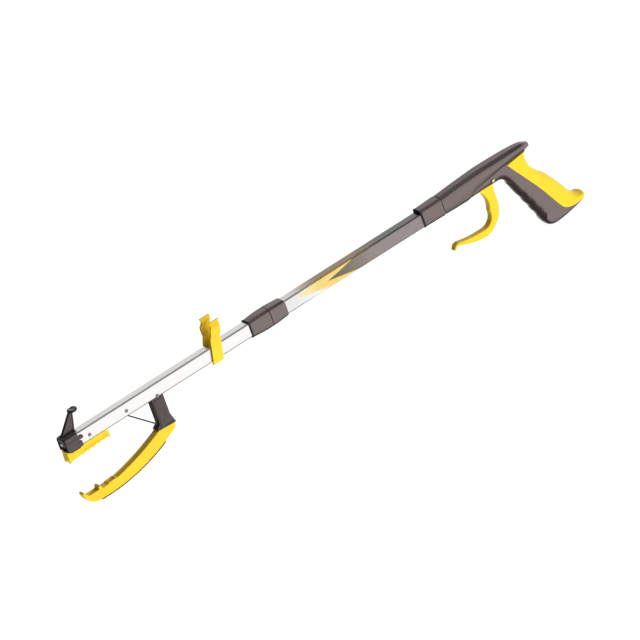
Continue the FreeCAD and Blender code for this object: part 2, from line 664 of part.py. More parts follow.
def handle_screws():
    screws = []
    for centre in SCREWS:
        head_r = SCREW_HEAD_R - GAP / 2
        length = SCREW_SEAT + SCREW_DEPTH
        head = Part.makeCylinder(head_r, SCREW_HEAD_T, at(*centre, SCREW_SEAT), Vector(0, 1, 0))
        shank = Part.makeCylinder(SCREW_R, length, at(*centre, -SCREW_DEPTH), Vector(0, 1, 0))
        screws.append(head.fuse(shank))
    return Part.makeCompound(screws)


def trigger():
    """The finger hook, its pivot boss, and the forked arm that pulls the cable."""
    px, pz = TRIGGER_PIVOT
    nx, nz = NIPPLE
    boss = [(px + BOSS, pz), (px, pz + BOSS, px - BOSS, pz)]
    arm = [(nx, nz + FORK_R), (nx - FORK_R, nz, nx, nz - FORK_R)]
    hook = slab(HOOK_START, [*HOOK, *boss, *arm], TRIGGER_HALF)
    hook = hook.cut(block(nx - FORK_R, nx + 2 * FORK_R, FORK_GAP, HOOK_START[1], pz + BOSS))
    hook = hook.cut(cross_pin(NIPPLE, NIPPLE_R, TRIGGER_HALF))
    return hook.cut(cross_pin(TRIGGER_PIVOT, TRIGGER_PIN_R + RUN, TRIGGER_HALF))


# ---- write every piece ------------------------------------------------------------------
def pieces():
    strap = grip_backstrap()
    body = grip_body(strap)
    return {
        "lower_tube": lower_tube(),
        "upper_tube": upper_tube(),
        "joint_spigot": joint_spigot(),
        "collar_front": collar(COLLAR_START, SEAM_X),
        "collar_rear": collar(SEAM_X, COLLAR_END),
        "walking_aid_clip": walking_aid_clip(),
        "nose_cap": nose_cap(),
        "tip_magnet": tip_magnet(),
        "fixed_jaw": fixed_jaw(),
        "nose_rivet": rivet(NOSE_RIVET),
        "pulley_rivet": rivet(PULLEY),
        "jaw_rivet": rivet(JAW_PIVOT),
        "pulley": wheel(PULLEY, PULLEY_PATH_R, RIVET_R + RUN, *PULLEY_SIZES),
        "guide_roller": wheel(ROLLER, ROLLER_PATH_R, ROLLER_PIN_R + RUN, *ROLLER_SIZES),
        "guide_roller_pin": cross_pin(ROLLER, ROLLER_PIN_R, ROLLER_PIN_HALF),
        "jaw_bush": cross_pin(JAW_PIVOT, BUSH_R, KNUCKLE_HALF).cut(
            cross_pin(JAW_PIVOT, RIVET_R + RUN, KNUCKLE_HALF + PAST)),
        "knuckle": knuckle(),
        "cable_anchor": cross_pin(ANCHOR, ANCHOR_R, KNUCKLE_HALF),
        "moving_jaw": moving_jaw(),
        "jaw_screws": jaw_screws(),
        "jaw_edge_strip": jaw_edge_strip(),
        "return_spring": return_spring(),
        "pull_cable": pull_cable(),
        "cable_nipple": cross_pin(NIPPLE, NIPPLE_R, TRIGGER_HALF),
        "handle_ferrule": handle_ferrule(),
        "barrel_cover": barrel_cover(),
        "grip_left": grip_half(body, -1),
        "grip_right": grip_half(body, 1),
        "grip_backstrap": strap,
        "handle_screws": handle_screws(),
        "trigger": trigger(),
        "trigger_pin": cross_pin(TRIGGER_PIVOT, TRIGGER_PIN_R, TRIGGER_PIN_HALF),
    }


os.makedirs("parts", exist_ok=True)
for name, shape in pieces().items():
    if not shape.isValid():
        print("not valid:", name)
    print(f"{name}: {len(shape.Solids)} solid(s), {shape.Volume / 1000:.2f} cm3")
    shape.exportStep(f"parts/{name}.step")
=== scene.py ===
"""Reacher grabber: the visible model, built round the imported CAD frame."""
import bpy
import bmesh
import json
import math
from mathutils import Matrix, Vector


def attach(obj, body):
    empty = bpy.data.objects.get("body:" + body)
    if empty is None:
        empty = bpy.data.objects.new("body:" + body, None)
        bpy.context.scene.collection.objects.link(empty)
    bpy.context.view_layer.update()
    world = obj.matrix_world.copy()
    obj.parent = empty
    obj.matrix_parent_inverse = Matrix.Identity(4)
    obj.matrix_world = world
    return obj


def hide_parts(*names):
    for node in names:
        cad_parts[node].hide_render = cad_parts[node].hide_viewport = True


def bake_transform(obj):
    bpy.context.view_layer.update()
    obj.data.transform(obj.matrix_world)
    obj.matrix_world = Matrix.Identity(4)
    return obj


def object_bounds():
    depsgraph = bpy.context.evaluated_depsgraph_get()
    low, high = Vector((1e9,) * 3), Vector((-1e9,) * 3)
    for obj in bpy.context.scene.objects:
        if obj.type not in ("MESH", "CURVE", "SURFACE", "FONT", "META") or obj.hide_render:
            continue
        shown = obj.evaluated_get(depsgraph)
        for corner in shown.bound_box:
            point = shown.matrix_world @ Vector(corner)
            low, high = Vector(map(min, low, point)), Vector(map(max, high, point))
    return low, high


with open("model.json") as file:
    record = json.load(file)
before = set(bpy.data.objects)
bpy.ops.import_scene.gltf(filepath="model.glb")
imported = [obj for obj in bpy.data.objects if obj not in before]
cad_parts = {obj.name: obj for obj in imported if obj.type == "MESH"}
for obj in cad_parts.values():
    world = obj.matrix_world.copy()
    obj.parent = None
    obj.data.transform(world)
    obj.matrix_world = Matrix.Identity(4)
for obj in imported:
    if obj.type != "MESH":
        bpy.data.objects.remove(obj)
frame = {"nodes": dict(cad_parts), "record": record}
cad_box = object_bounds()

MM = 0.001
NODES = frame["nodes"]

# ---- driving dimensions, in millimetres in the CAD's frame --------------------------------
TUBE_HALF_W = 8.2
TUBE_HALF_H = 9.8
TUBE_CORNER = 2.6
SEAM_X = 336.0
COLLAR = (304.0, 362.0)
FERRULE = (586.0, 618.0)
SLEEVE_CORNERS = (4.4, 4.2, 6, 4, 0.07)     # box_ring's corner radii, steps and belly
PULLEY = (99.3, -1.4)
PULLEY_PATH_R = 6.0
ROLLER = (668.6, 0.6)
ROLLER_PATH_R = 4.0
CABLE_R = 0.8
ANCHOR = (141.6, -50.8)
NIPPLE = (672.6, -6.0)
JAW_PIVOT = (147.6, -6.7)
TRIGGER_PIVOT = (696.6, -4.0)

# ---- view and light, in degrees and metres ------------------------------------------------
AZIMUTH = 25.0
ELEVATION = 27.0
ROLL = 20.5
VIEW_WIDTH = 0.8192
VIEW_CENTRE = (0.404, 0.0, -0.046)
VIEW_DISTANCE = 2.5
LAMP_PLACE = (0.95, -2.6, 0.55)
LAMP_TARGET = (0.4, 0, -0.02)
LAMP_SIZE = 1.1
LAMP_POWER = 44
FLOOR_HALF = 6.0
FLOOR_GAP = 0.001
FLOOR_GLOW = 0.80
SKY_STRENGTH = 1.28
SKY_RISE = ((-1.0, 0.04), (-0.84, 0.10), (-0.58, 1.0), (0.0, 0.95), (0.30, 0.80), (0.52, 0.72), (0.66, 0.08),
            (0.86, 0.08), (1.0, 0.60))  # (how far up, grey)
SKY_TURN = ((-1.0, 0.02), (-0.30, 0.08), (0.12, 1.0), (1.0, 1.0))   # (how far towards the handle, grey)


# ---- camera, floor and light --------------------------------------------------------------
def make_camera():
    azimuth, elevation, roll = (math.radians(angle) for angle in (AZIMUTH, ELEVATION, ROLL))
    out = math.cos(elevation)
    toward = Vector((-math.sin(azimuth) * out, -math.cos(azimuth) * out, math.sin(elevation)))
    level = Vector((math.cos(azimuth), -math.sin(azimuth), 0.0))
    upright = toward.cross(level)
    right = math.cos(roll) * level - math.sin(roll) * upright
    up = math.sin(roll) * level + math.cos(roll) * upright
    data = bpy.data.cameras.new("camera")
    data.type = "ORTHO"
    data.ortho_scale = VIEW_WIDTH
    data.clip_end = 20.0
    camera = bpy.data.objects.new("camera", data)
    turn = Matrix((right, up, toward)).transposed().to_4x4()
    camera.matrix_world = Matrix.Translation(Vector(VIEW_CENTRE) + toward * VIEW_DISTANCE) @ turn
    bpy.context.scene.collection.objects.link(camera)
    bpy.context.scene.camera = camera


def make_lamp():
    data = bpy.data.lights.new("key", "AREA")
    data.shape = "DISK"
    data.size = LAMP_SIZE
    data.energy = LAMP_POWER
    lamp = bpy.data.objects.new("key", data)
    aim = (Vector(LAMP_TARGET) - Vector(LAMP_PLACE)).to_track_quat("-Z", "Y")
    lamp.matrix_world = Matrix.Translation(LAMP_PLACE) @ aim.to_matrix().to_4x4()
    lamp.visible_glossy = False
    bpy.context.scene.collection.objects.link(lamp)


def make_stage():
    mesh = bpy.data.meshes.new("floor")
    grid = bmesh.new()
    bmesh.ops.create_grid(grid, x_segments=8, y_segments=8, size=FLOOR_HALF)
    grid.to_mesh(mesh)
    grid.free()
    floor = bpy.data.objects.new("floor", mesh)
    floor.location = (LAMP_TARGET[0], 0.0, cad_box[0].z - FLOOR_GAP)
    bpy.context.scene.collection.objects.link(floor)
    floor.visible_glossy = False
    paper = Material("floor_paper")
    mesh.materials.append(paper.set(Base_Color=(0.86, 0.86, 0.86), Roughness=0.9,
                                    Emission_Color=(1.0, 1.0, 1.0), Emission_Strength=FLOOR_GLOW))
    sky()
    make_lamp()
    settings = bpy.context.scene.view_settings
    settings.view_transform = "Standard"
    settings.look = "None"


def sky():
    """Soft light all round: a bright band low down, dark above it, straight below and past the nose.

    What lies past the floor's edge is plain white.
    """
    world = bpy.data.worlds.new("studio")
    bpy.context.scene.world = world
    world.use_nodes = True
    tree = world.node_tree
    tree.nodes.clear()
    where = tree.nodes.new("ShaderNodeTexCoord")
    split = tree.nodes.new("ShaderNodeSeparateXYZ")
    tree.links.new(where.outputs["Generated"], split.inputs[0])
    rise = grey_ramp(tree, split.outputs["Z"], SKY_RISE)
    turn = grey_ramp(tree, split.outputs["X"], SKY_TURN)
    both = tree.nodes.new("ShaderNodeMath")
    both.operation = "MULTIPLY"
    tree.links.new(rise, both.inputs[0])
    tree.links.new(turn, both.inputs[1])
    light = tree.nodes.new("ShaderNodeBackground")
    light.inputs["Strength"].default_value = SKY_STRENGTH
    backdrop = tree.nodes.new("ShaderNodeBackground")
    backdrop.inputs["Color"].default_value = (1, 1, 1, 1)
    seen = tree.nodes.new("ShaderNodeMixShader")
    tree.links.new(tree.nodes.new("ShaderNodeLightPath").outputs["Is Camera Ray"], seen.inputs[0])
    tree.links.new(both.outputs[0], light.inputs["Color"])
    tree.links.new(light.outputs[0], seen.inputs[1])
    tree.links.new(backdrop.outputs[0], seen.inputs[2])
    out = tree.nodes.new("ShaderNodeOutputWorld")
    tree.links.new(seen.outputs[0], out.inputs["Surface"])


def grey_ramp(tree, value, stops):
    """A ramp of greys over a value from -1 to 1: stops are (place, grey)."""
    moved = tree.nodes.new("ShaderNodeMapRange")
    moved.inputs["From Min"].default_value = -1.0
    tree.links.new(value, moved.inputs["Value"])
    ramp = tree.nodes.new("ShaderNodeValToRGB")
    ramp.color_ramp.elements.remove(ramp.color_ramp.elements[1])
    for k, (place, grey) in enumerate(stops):
        stop = ramp.color_ramp.elements.new((place + 1.0) / 2.0) if k else ramp.color_ramp.elements[0]
        stop.color = (grey, grey, grey, 1)
    tree.links.new(moved.outputs[0], ramp.inputs["Fac"])
    return ramp.outputs["Color"]


# ---- materials ----------------------------------------------------------------------------
class Material:
    """A procedural material, laid out in the object's own coordinates."""

    def __init__(self, name):
        self.data = bpy.data.materials.new(name)
        self.data.use_nodes = True
        self.tree = self.data.node_tree
        self.shader = self.tree.nodes["Principled BSDF"]
        self.places = self.node("ShaderNodeTexCoord").outputs["Object"]

    def node(self, kind, **values):
        made = self.tree.nodes.new(kind)
        for key, value in values.items():
            setattr(made, key, value)
        return made

    def link(self, source, target):
        self.tree.links.new(source, target)

    def noise(self, scale, detail=3.0, stretch=(1.0, 1.0, 1.0)):
        mapping = self.node("ShaderNodeMapping")
        mapping.inputs["Scale"].default_value = stretch
        self.link(self.places, mapping.inputs["Vector"])
        made = self.node("ShaderNodeTexNoise")
        made.inputs["Scale"].default_value = scale
        made.inputs["Detail"].default_value = detail
        self.link(mapping.outputs["Vector"], made.inputs["Vector"])
        return made.outputs["Fac"]

    def ranged(self, value, low, high, start=0.0, end=1.0, smooth=False):
        made = self.node("ShaderNodeMapRange")
        if smooth:
            made.interpolation_type = "SMOOTHSTEP"
        for key, number in (("From Min", start), ("From Max", end), ("To Min", low), ("To Max", high)):
            made.inputs[key].default_value = number
        self.link(value, made.inputs["Value"])
        return made.outputs["Result"]

    def maths(self, operation, a, b=0.0):
        made = self.node("ShaderNodeMath", operation=operation)
        for socket, value in zip(made.inputs, (a, b)):
            self.feed(socket, value)
        return made.outputs[0]

    def feed(self, socket, value):
        """Fills a socket with a colour, a number or another node's output."""
        if isinstance(value, tuple):
            socket.default_value = (*value, 1.0)
        elif isinstance(value, (int, float)):
            socket.default_value = value
        else:
            self.link(value, socket)

    def mix(self, share, a, b):
        made = self.node("ShaderNodeMix", data_type="RGBA")
        for key, value in ((0, share), (6, a), (7, b)):
            self.feed(made.inputs[key], value)
        return made.outputs[2]

    def bump(self, height, distance, strength, after=None):
        made = self.node("ShaderNodeBump")
        made.inputs["Strength"].default_value = strength
        made.inputs["Distance"].default_value = distance
        self.link(height, made.inputs["Height"])
        if after:
            self.link(after, made.inputs["Normal"])
        return made.outputs["Normal"]

    def edges(self, low=0.50, high=0.56):
        """1 along raised edges."""
        return self.ranged(self.node("ShaderNodeNewGeometry").outputs["Pointiness"], 0.0, 1.0, low, high)

    def set(self, **sockets):
        for key, value in sockets.items():
            self.feed(self.shader.inputs[key.replace("_", " ")], value)
        return self.data


def shade(colour, by):
    return tuple(channel * by for channel in colour)


def moulded(name, colour, rough, grain=0.00004, worn=1.35, ior=1.5, tint=(1.0, 1.0, 1.0)):
    """Moulded plastic: a fine grain, faint flow marks, and edges rubbed a little lighter."""
    m = Material(name)
    broad = m.noise(22.0, 2.0)
    fine = m.noise(2600.0, 2.0)
    flow = m.noise(60.0, 4.0, (0.3, 1.0, 1.0))
    tone = m.mix(m.ranged(broad, 0.0, 1.0, 0.3, 0.7), shade(colour, 0.93), shade(colour, 1.05))
    tone = m.mix(m.ranged(flow, 0.0, 0.35, 0.45, 0.8), tone, shade(colour, 0.86))
    rubbed = tuple(min(1.0, c * worn + 0.01) for c in colour)
    tone = m.mix(m.maths("MULTIPLY", m.edges(), 0.45), tone, rubbed)
    roughness = m.ranged(m.noise(420.0, 3.0), rough - 0.05, rough + 0.08)
    normal = m.bump(flow, 0.0002, 0.25, m.bump(fine, grain, 0.6))
    return m.set(Base_Color=tone, Roughness=roughness, Normal=normal, IOR=ior, Specular_Tint=tint)


def metal(name, colour, rough, lines=(4.0, 300.0, 300.0), depth=0.00003, spots=0.0, smudged=0.82,
          metallic=1.0):
    """Bare metal with fine drawing or turning lines and faint smudges."""
    m = Material(name)
    drawn = m.noise(9.0, 4.0, lines)
    smudge = m.noise(35.0, 3.0)
    tone = m.mix(m.ranged(drawn, 0.0, 1.0, 0.35, 0.65), shade(colour, 0.93), shade(colour, 1.04))
    tone = m.mix(m.ranged(smudge, 0.0, 0.25, 0.5, 0.75), tone, shade(colour, smudged))
    if spots:
        tone = m.mix(m.ranged(m.noise(900.0, 2.0), 0.0, spots, 0.6, 0.75), tone, shade(colour, 0.45))
    roughness = m.maths("ADD", m.ranged(drawn, rough - 0.04, rough + 0.07), m.ranged(smudge, 0.0, 0.07))
    normal = m.bump(drawn, depth, 0.5)
    return m.set(Base_Color=tone, Roughness=roughness, Metallic=metallic, Normal=normal)


def printed_tube(name):
    """Aluminium printed with a yellow flame that runs into charcoal towards the handle, with painted shade
    on the top face: the print there is drawn in darker copies of its side colours.
    """
    pale_silver, silver = (0.80, 0.79, 0.80), (0.70, 0.69, 0.70)
    pale_flame, flame_gold = (0.78, 0.66, 0.30), (0.72, 0.52, 0.10)
    olive, wash = (0.085, 0.060, 0.018), (0.180, 0.144, 0.140)
    # The two colours on the next line are darker copies of flame_gold and wash, for the top face: painted
    # shade.
    tan, painted_shade_top = (0.34, 0.19, 0.030), (0.045, 0.038, 0.040)
    m = Material(name)
    split = m.node("ShaderNodeSeparateXYZ")
    m.link(m.places, split.inputs[0])
    x = m.maths("MULTIPLY", split.outputs["X"], 1.0 / MM)
    z = m.maths("MULTIPLY", split.outputs["Z"], 1.0 / MM)
    drawn = m.noise(9.0, 4.0, (4.0, 300.0, 300.0))
    bare = m.mix(m.ranged(drawn, 0.0, 1.0, 0.35, 0.65), silver, pale_silver)
    wave = m.ranged(m.noise(26.0, 2.0), -2.0, 2.0)

    def along(start, end):
        """0 to 1 between two places along the tube."""
        return m.ranged(x, 0.0, 1.0, start, end, True)

    def wedge(tip, middle, slope, feather):
        """1 inside a point that opens towards the handle from x = tip."""
        away = m.maths("ABSOLUTE", m.maths("SUBTRACT", z, middle))
        inside = m.maths("SUBTRACT", m.maths("SUBTRACT", x, tip), m.maths("MULTIPLY", away, slope))
        return m.ranged(m.maths("ADD", inside, wave), 0.0, 1.0, -feather, feather, True)

    flame = wedge(378.0, 3.4, 4.6, 11.0)
    point = wedge(430.0, 0.6, 5.2, 1.6)
    # The top face, where the print is drawn in darker copies of its side colours: painted shade.
    on_shaded_top = m.ranged(z, 0.0, 1.0, TUBE_HALF_H - 1.4, TUBE_HALF_H - 0.3, True)
    side = m.mix(flame, bare, m.mix(along(385.0, 425.0), pale_flame, flame_gold))
    side = m.mix(point, side, m.mix(along(440.0, 515.0), olive, wash))
    top = m.mix(along(462.0, 530.0), m.mix(along(366.0, 425.0), bare, tan), painted_shade_top)
    ink = m.maths("MAXIMUM", m.ranged(flame, 0.0, 0.8), along(375.0, 430.0))
    specks = m.maths("MULTIPLY", ink, m.ranged(m.noise(300.0, 4.0), 0.0, 0.10, 0.35, 0.75))
    tone = m.mix(specks, m.mix(on_shaded_top, side, top), (0.02, 0.02, 0.02))
    return m.set(Base_Color=tone, Metallic=m.ranged(ink, 1.0, 0.12), Roughness=m.ranged(drawn, 0.27, 0.38),
                 Normal=m.bump(drawn, 0.00003, 0.4), Coat_Weight=1.0, Coat_Roughness=0.20, Coat_IOR=1.58)


def stranded(name):
    """Oiled steel wire."""
    m = Material(name)
    grime = m.noise(500.0, 3.0)
    tone = m.mix(m.ranged(grime, 0.0, 1.0, 0.4, 0.7), (0.085, 0.085, 0.09), (0.03, 0.03, 0.033))
    return m.set(Base_Color=tone, Metallic=1.0, Roughness=m.ranged(grime, 0.28, 0.5),
                 Normal=m.bump(m.noise(3000.0, 2.0), 0.00002, 0.5))


YELLOW = (0.87, 0.57, 0.012)
WARM = (1.0, 0.82, 0.80)
MATERIALS = {
    "bare_aluminium": metal("bare_aluminium", (0.86, 0.83, 0.82), 0.23, smudged=0.95),
    "printed_tube": printed_tube("printed_tube"),
    "black_plastic": moulded("black_plastic", (0.015, 0.012, 0.011), 0.28, 0.00002, 1.8, 1.8, WARM),
    "charcoal_plastic": moulded("charcoal_plastic", (0.034, 0.028, 0.027), 0.27, 0.000015, 1.3, 2.3, WARM),
    "yellow_plastic": moulded("yellow_plastic", YELLOW, 0.42, 0.00003, 1.06, 1.42),
    "plated_steel": metal("plated_steel", (0.52, 0.51, 0.50), 0.30, (60.0, 60.0, 60.0), spots=0.35),
    "brass": metal("brass", (0.88, 0.74, 0.34), 0.34, (90.0, 90.0, 90.0)),
    "acetal": moulded("acetal", (0.80, 0.80, 0.76), 0.30, 0.00002, 1.05),
    "nickel_magnet": metal("nickel_magnet", (0.92, 0.91, 0.89), 0.50, metallic=0.3),
    "rivet_aluminium": metal("rivet_aluminium", (0.46, 0.45, 0.46), 0.40, (50.0, 50.0, 50.0), 0.00005),
    "cable_steel": stranded("cable_steel"),
    "black_rubber": moulded("black_rubber", (0.016, 0.016, 0.016), 0.60, 0.00008, 2.0, 1.45),
}


# ---- mesh helpers -------------------------------------------------------------------------
SMOOTH_BY = 35.0    # degrees
WELD = 0.00001      # metres


def circle(count):
    """(cosine, sine) at even steps round a circle."""
    angles = [2 * math.pi * k / count for k in range(count)]
    return [(math.cos(angle), math.sin(angle)) for angle in angles]


def on_circle(centre, radius, angle):
    return centre[0] + radius * math.cos(angle), centre[1] + radius * math.sin(angle)


def arc_points(a, via, b, step=1.2):
    """Points along the arc from a through via to b, without a itself."""
    (ax, az), (bx, bz), (cx, cz) = a, via, b
    d = 2 * (ax * (bz - cz) + bx * (cz - az) + cx * (az - bz))
    aa, bb, cc = ax * ax + az * az, bx * bx + bz * bz, cx * cx + cz * cz
    ux = (aa * (bz - cz) + bb * (cz - az) + cc * (az - bz)) / d
    uz = (aa * (cx - bx) + bb * (ax - cx) + cc * (bx - ax)) / d
    radius = math.hypot(ax - ux, az - uz)
    first = math.atan2(az - uz, ax - ux)
    middle = (math.atan2(bz - uz, bx - ux) - first) % (2 * math.pi)
    last = (math.atan2(cz - uz, cx - ux) - first) % (2 * math.pi)
    if middle > last:
        last -= 2 * math.pi
    count = max(3, int(abs(last) * radius / step))
    return [on_circle((ux, uz), radius, first + last * k / count) for k in range(1, count + 1)]


def trace(start, moves, step=1.2):
    """An outline: (x, z) is a line to that point and (x, z, x, z) an arc through one point to another."""
    points = [start]
    for move in moves:
        if len(move) == 4:
            points += arc_points(points[-1], move[:2], move[2:], step)
        else:
            points.append(tuple(move))
    if math.dist(points[0], points[-1]) < 1e-6:
        points.pop()
    return points


def rounded(points, radius, corner=22.0):
    """The closed outline with its corners rounded off."""
    made = []
    count = len(points)
    for k in range(count):
        before, here, after = Vector(points[k - 1]), Vector(points[k]), Vector(points[(k + 1) % count])
        u, v = here - before, after - here
        if u.length < 1e-9 or v.length < 1e-9:
            continue
        turn = math.degrees(u.angle(v))
        if turn < corner:
            made.append(tuple(here))
            continue
        cut = min(radius, 0.45 * u.length, 0.45 * v.length)
        p, q = here - u.normalized() * cut, here + v.normalized() * cut
        for share in (0.0, 0.25, 0.5, 0.75, 1.0):
            made.append(tuple((1 - share) ** 2 * p + 2 * share * (1 - share) * here + share ** 2 * q))
    return made


def room(points, k, inward):
    """How far it is from one corner of an outline, going inwards, to the outline's other side."""
    here = Vector(points[k])
    count = len(points)
    best = 1e9
    for j in range(count):
        if j in (k, (k - 1) % count):
            continue
        a, b = Vector(points[j]) - here, Vector(points[(j + 1) % count]) - here
        side_a, side_b = inward.x * a.y - inward.y * a.x, inward.x * b.y - inward.y * b.x
        if side_a * side_b > 0 or side_a == side_b:
            continue
        reach = inward.dot(a + (b - a) * (side_a / (side_a - side_b)))
        if reach > 1e-6:
            best = min(best, reach)
    return best


def inset(points, by):
    """The closed outline moved inwards, by less where it is too thin for the whole step."""
    area = sum(ax * bz - bx * az for (ax, az), (bx, bz) in zip(points[-1:] + points[:-1], points))
    side = 1.0 if area > 0 else -1.0
    count = len(points)
    inwards, steps = [], []
    for k in range(count):
        before, here, after = Vector(points[k - 1]), Vector(points[k]), Vector(points[(k + 1) % count])
        u, v = (here - before).normalized(), (after - here).normalized()
        n = Vector((-(u.y + v.y), u.x + v.x)) * side
        if n.length < 1e-6:
            n = Vector((-u.y, u.x)) * side
        n.normalize()
        across = max(0.7, n.dot(Vector((-u.y, u.x)) * side))
        inwards.append(n)
        steps.append(min(by / across, 0.38 * room(points, k, n)))
    moved = [Vector(points[k]) + inwards[k] * min(steps[k - 1], steps[k], steps[(k + 1) % count])
             for k in range(count)]
    for _ in range(8):
        for k in range(count):
            j = (k + 1) % count
            if (moved[j] - moved[k]).dot(Vector(points[j]) - Vector(points[k])) < 0:
                moved[k] = moved[j] = (moved[j] + moved[k]) / 2
    return [tuple(point) for point in moved]


def rings_mesh(rings, close_ends=True):
    """Vertices and faces of a skin over rings that all have the same number of points."""
    count = len(rings[0])
    verts = [point for ring in rings for point in ring]
    faces = []
    for row in range(len(rings) - 1):
        for k in range(count):
            a, b = row * count + k, row * count + (k + 1) % count
            faces.append((a, b, b + count, a + count))
    if close_ends:
        faces.append(tuple(range(count))[::-1])
        faces.append(tuple(range((len(rings) - 1) * count, len(rings) * count)))
    return verts, faces


def plate(points, half, edge, middle=0.0, steps=4, shape=None):
    """A plate across the tool with rounded edges. points are (x, z) in millimetres."""
    inner = inset(points, edge)
    rings = []
    for k in range(steps + 1):
        angle = math.pi / 2 * k / steps
        rings.append((-(half - edge + edge * math.cos(angle)), 1 - math.sin(angle)))
    rings += [(-y, share) for y, share in reversed(rings)]
    made = []
    for y, share in rings:
        made.append([(x + (ix - x) * share, y + middle, z + (iz - z) * share)
                     for (x, z), (ix, iz) in zip(points, inner)])
    if shape:
        made = [[shape(*point) for point in ring] for ring in made]
    return rings_mesh(made)


def bar(points, half, middle=0.0):
    """A plain slab across the tool, for cutting with."""
    return rings_mesh([[(x, y, z) for x, z in points] for y in (middle - half, middle + half)])


def joined(*parts):
    verts, faces = [], []
    for more, shapes in parts:
        base = len(verts)
        verts += list(more)
        faces += [tuple(base + k for k in face) for face in shapes]
    return verts, faces


def mesh_of(name, part, weld=False):
    """A mesh from (vertices, faces) in millimetres, with its faces turned outwards."""
    verts, faces = part
    mesh = bpy.data.meshes.new(name)
    mesh.from_pydata([tuple(c * MM for c in v) for v in verts], [], faces)
    work = bmesh.new()
    work.from_mesh(mesh)
    if weld:
        bmesh.ops.remove_doubles(work, verts=work.verts, dist=WELD)
    bmesh.ops.recalc_face_normals(work, faces=work.faces)
    work.to_mesh(mesh)
    work.free()
    return mesh


def smoothed(mesh, smooth_by):
    """Smooth shading, with the edges that turn by more than smooth_by degrees kept sharp."""
    work = bmesh.new()
    work.from_mesh(mesh)
    for face in work.faces:
        face.smooth = True
    for line in work.edges:
        sharp = len(line.link_faces) == 2 and math.degrees(line.calc_face_angle(0.0)) > smooth_by
        line.smooth = not sharp
    work.to_mesh(mesh)
    work.free()
    return mesh


def piece(name, part, body, slot, replaces=(), smooth_by=SMOOTH_BY, weighted=True):
    """One visible piece from (vertices, faces) in millimetres."""
    mesh = smoothed(mesh_of(name, part, weld=True), smooth_by)
    mesh.materials.append(MATERIALS[slot])
    made = bpy.data.objects.new(name, mesh)
    bpy.context.scene.collection.objects.link(made)
    if weighted:
        made.modifiers.new("normals", "WEIGHTED_NORMAL").keep_sharp = True
    if body:
        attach(made, body)
    if replaces:
        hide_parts(*replaces)
    return made


def cut_away(made, parts):
    """Cuts closed shapes out of a piece, for good."""
    for part in parts:
        tool = bpy.data.objects.new("cutter", mesh_of("cutter", part))
        bpy.context.scene.collection.objects.link(tool)
        others = list(made.modifiers)
        cut = made.modifiers.new("cut", "BOOLEAN")
        cut.operation = "DIFFERENCE"
        cut.solver = "EXACT"
        cut.object = tool
        for other in others:
            other.show_viewport = False
        bpy.context.view_layer.update()
        graph = bpy.context.evaluated_depsgraph_get()
        result = bpy.data.meshes.new_from_object(made.evaluated_get(graph))
        for other in others:
            other.show_viewport = True
        made.modifiers.remove(cut)
        result.name = made.name
        made.data = result
        bpy.data.objects.remove(tool)
    smoothed(made.data, SMOOTH_BY)


def between(table, x, column):
    """A smooth value read between the rows of a table whose first column rises or falls."""
    rows = table if table[0][0] < table[-1][0] else table[::-1]
    if x <= rows[0][0]:
        return rows[0][column]
    if x >= rows[-1][0]:
        return rows[-1][column]
    k = max(i for i in range(len(rows) - 1) if rows[i][0] <= x)
    x0, x1 = rows[k][0], rows[k + 1][0]
    t = (x - x0) / (x1 - x0)

    def slope(i):
        a, b = rows[max(i - 1, 0)], rows[min(i + 1, len(rows) - 1)]
        return (b[column] - a[column]) / (b[0] - a[0])

    h = x1 - x0
    p0, p1, m0, m1 = rows[k][column], rows[k + 1][column], slope(k) * h, slope(k + 1) * h
    return ((2 * t ** 3 - 3 * t ** 2 + 1) * p0 + (t ** 3 - 2 * t ** 2 + t) * m0
            + (-2 * t ** 3 + 3 * t ** 2) * p1 + (t ** 3 - t ** 2) * m1)


def box_ring(x, half, top, bottom, upper, lower, arc=6, flats=4, belly=0.0):
    """A rounded rectangle across the tool: its upper and lower corners have their own radii.

    belly is how much narrower it is at its top and bottom than halfway up, as a share.
    """
    upper = min(upper, half * 0.98, (top - bottom) * 0.49)
    lower = min(lower, half * 0.98, (top - bottom) * 0.49)
    corners = ((half - upper, top - upper, upper), (-half + upper, top - upper, upper),
               (-half + lower, bottom + lower, lower), (half - lower, bottom + lower, lower))
    ring = []
    for turn, (y, z, radius) in enumerate(corners):
        ring += [on_circle((y, z), radius, math.pi / 2 * (turn + k / arc)) for k in range(arc + 1)]
        after = (turn + 1) % 4
        ahead = on_circle(corners[after][:2], corners[after][2], math.pi / 2 * after)
        here = ring[-1]
        ring += [tuple(a + (b - a) * k / flats for a, b in zip(here, ahead)) for k in range(1, flats)]
    middle, tall = (top + bottom) / 2, (top - bottom) / 2
    return [(x, y * (1 - belly * ((z - middle) / tall) ** 2), z) for y, z in ring]


def bore(gap, corner=TUBE_CORNER):
    """box_ring's arguments for an opening that the tube fills, with a gap all round."""
    return (TUBE_HALF_W + gap, TUBE_HALF_H + gap, -TUBE_HALF_H - gap, corner, corner)


def sleeve(rows, inner):
    """A sleeve along the tool: rows are box_ring arguments from front to back, and inner is the bore's."""
    ends = [box_ring(rows[k][0], *inner) for k in (0, -1)]
    rings = [ends[0], *(box_ring(*row) for row in rows), ends[1]]
    verts, faces = rings_mesh(rings, close_ends=False)
    count = len(rings[0])
    last = (len(rings) - 1) * count
    for k in range(count):
        j = (k + 1) % count
        faces.append((last + k, last + j, j, k))
    return verts, faces


def lathe(profile, centre, axis="y", count=32):
    """A round piece on an axis across or along the tool: profile is (distance along the axis, radius)."""
    rings = []
    for along, radius in profile:
        spots = [(radius * a, radius * b) for a, b in circle(count)]
        if axis == "y":
            rings.append([(centre[0] + a, along, centre[1] + b) for a, b in spots])
        else:
            rings.append([(along, centre[0] + a, centre[1] + b) for a, b in spots])
    return rings_mesh(rings)


make_camera()
make_stage()


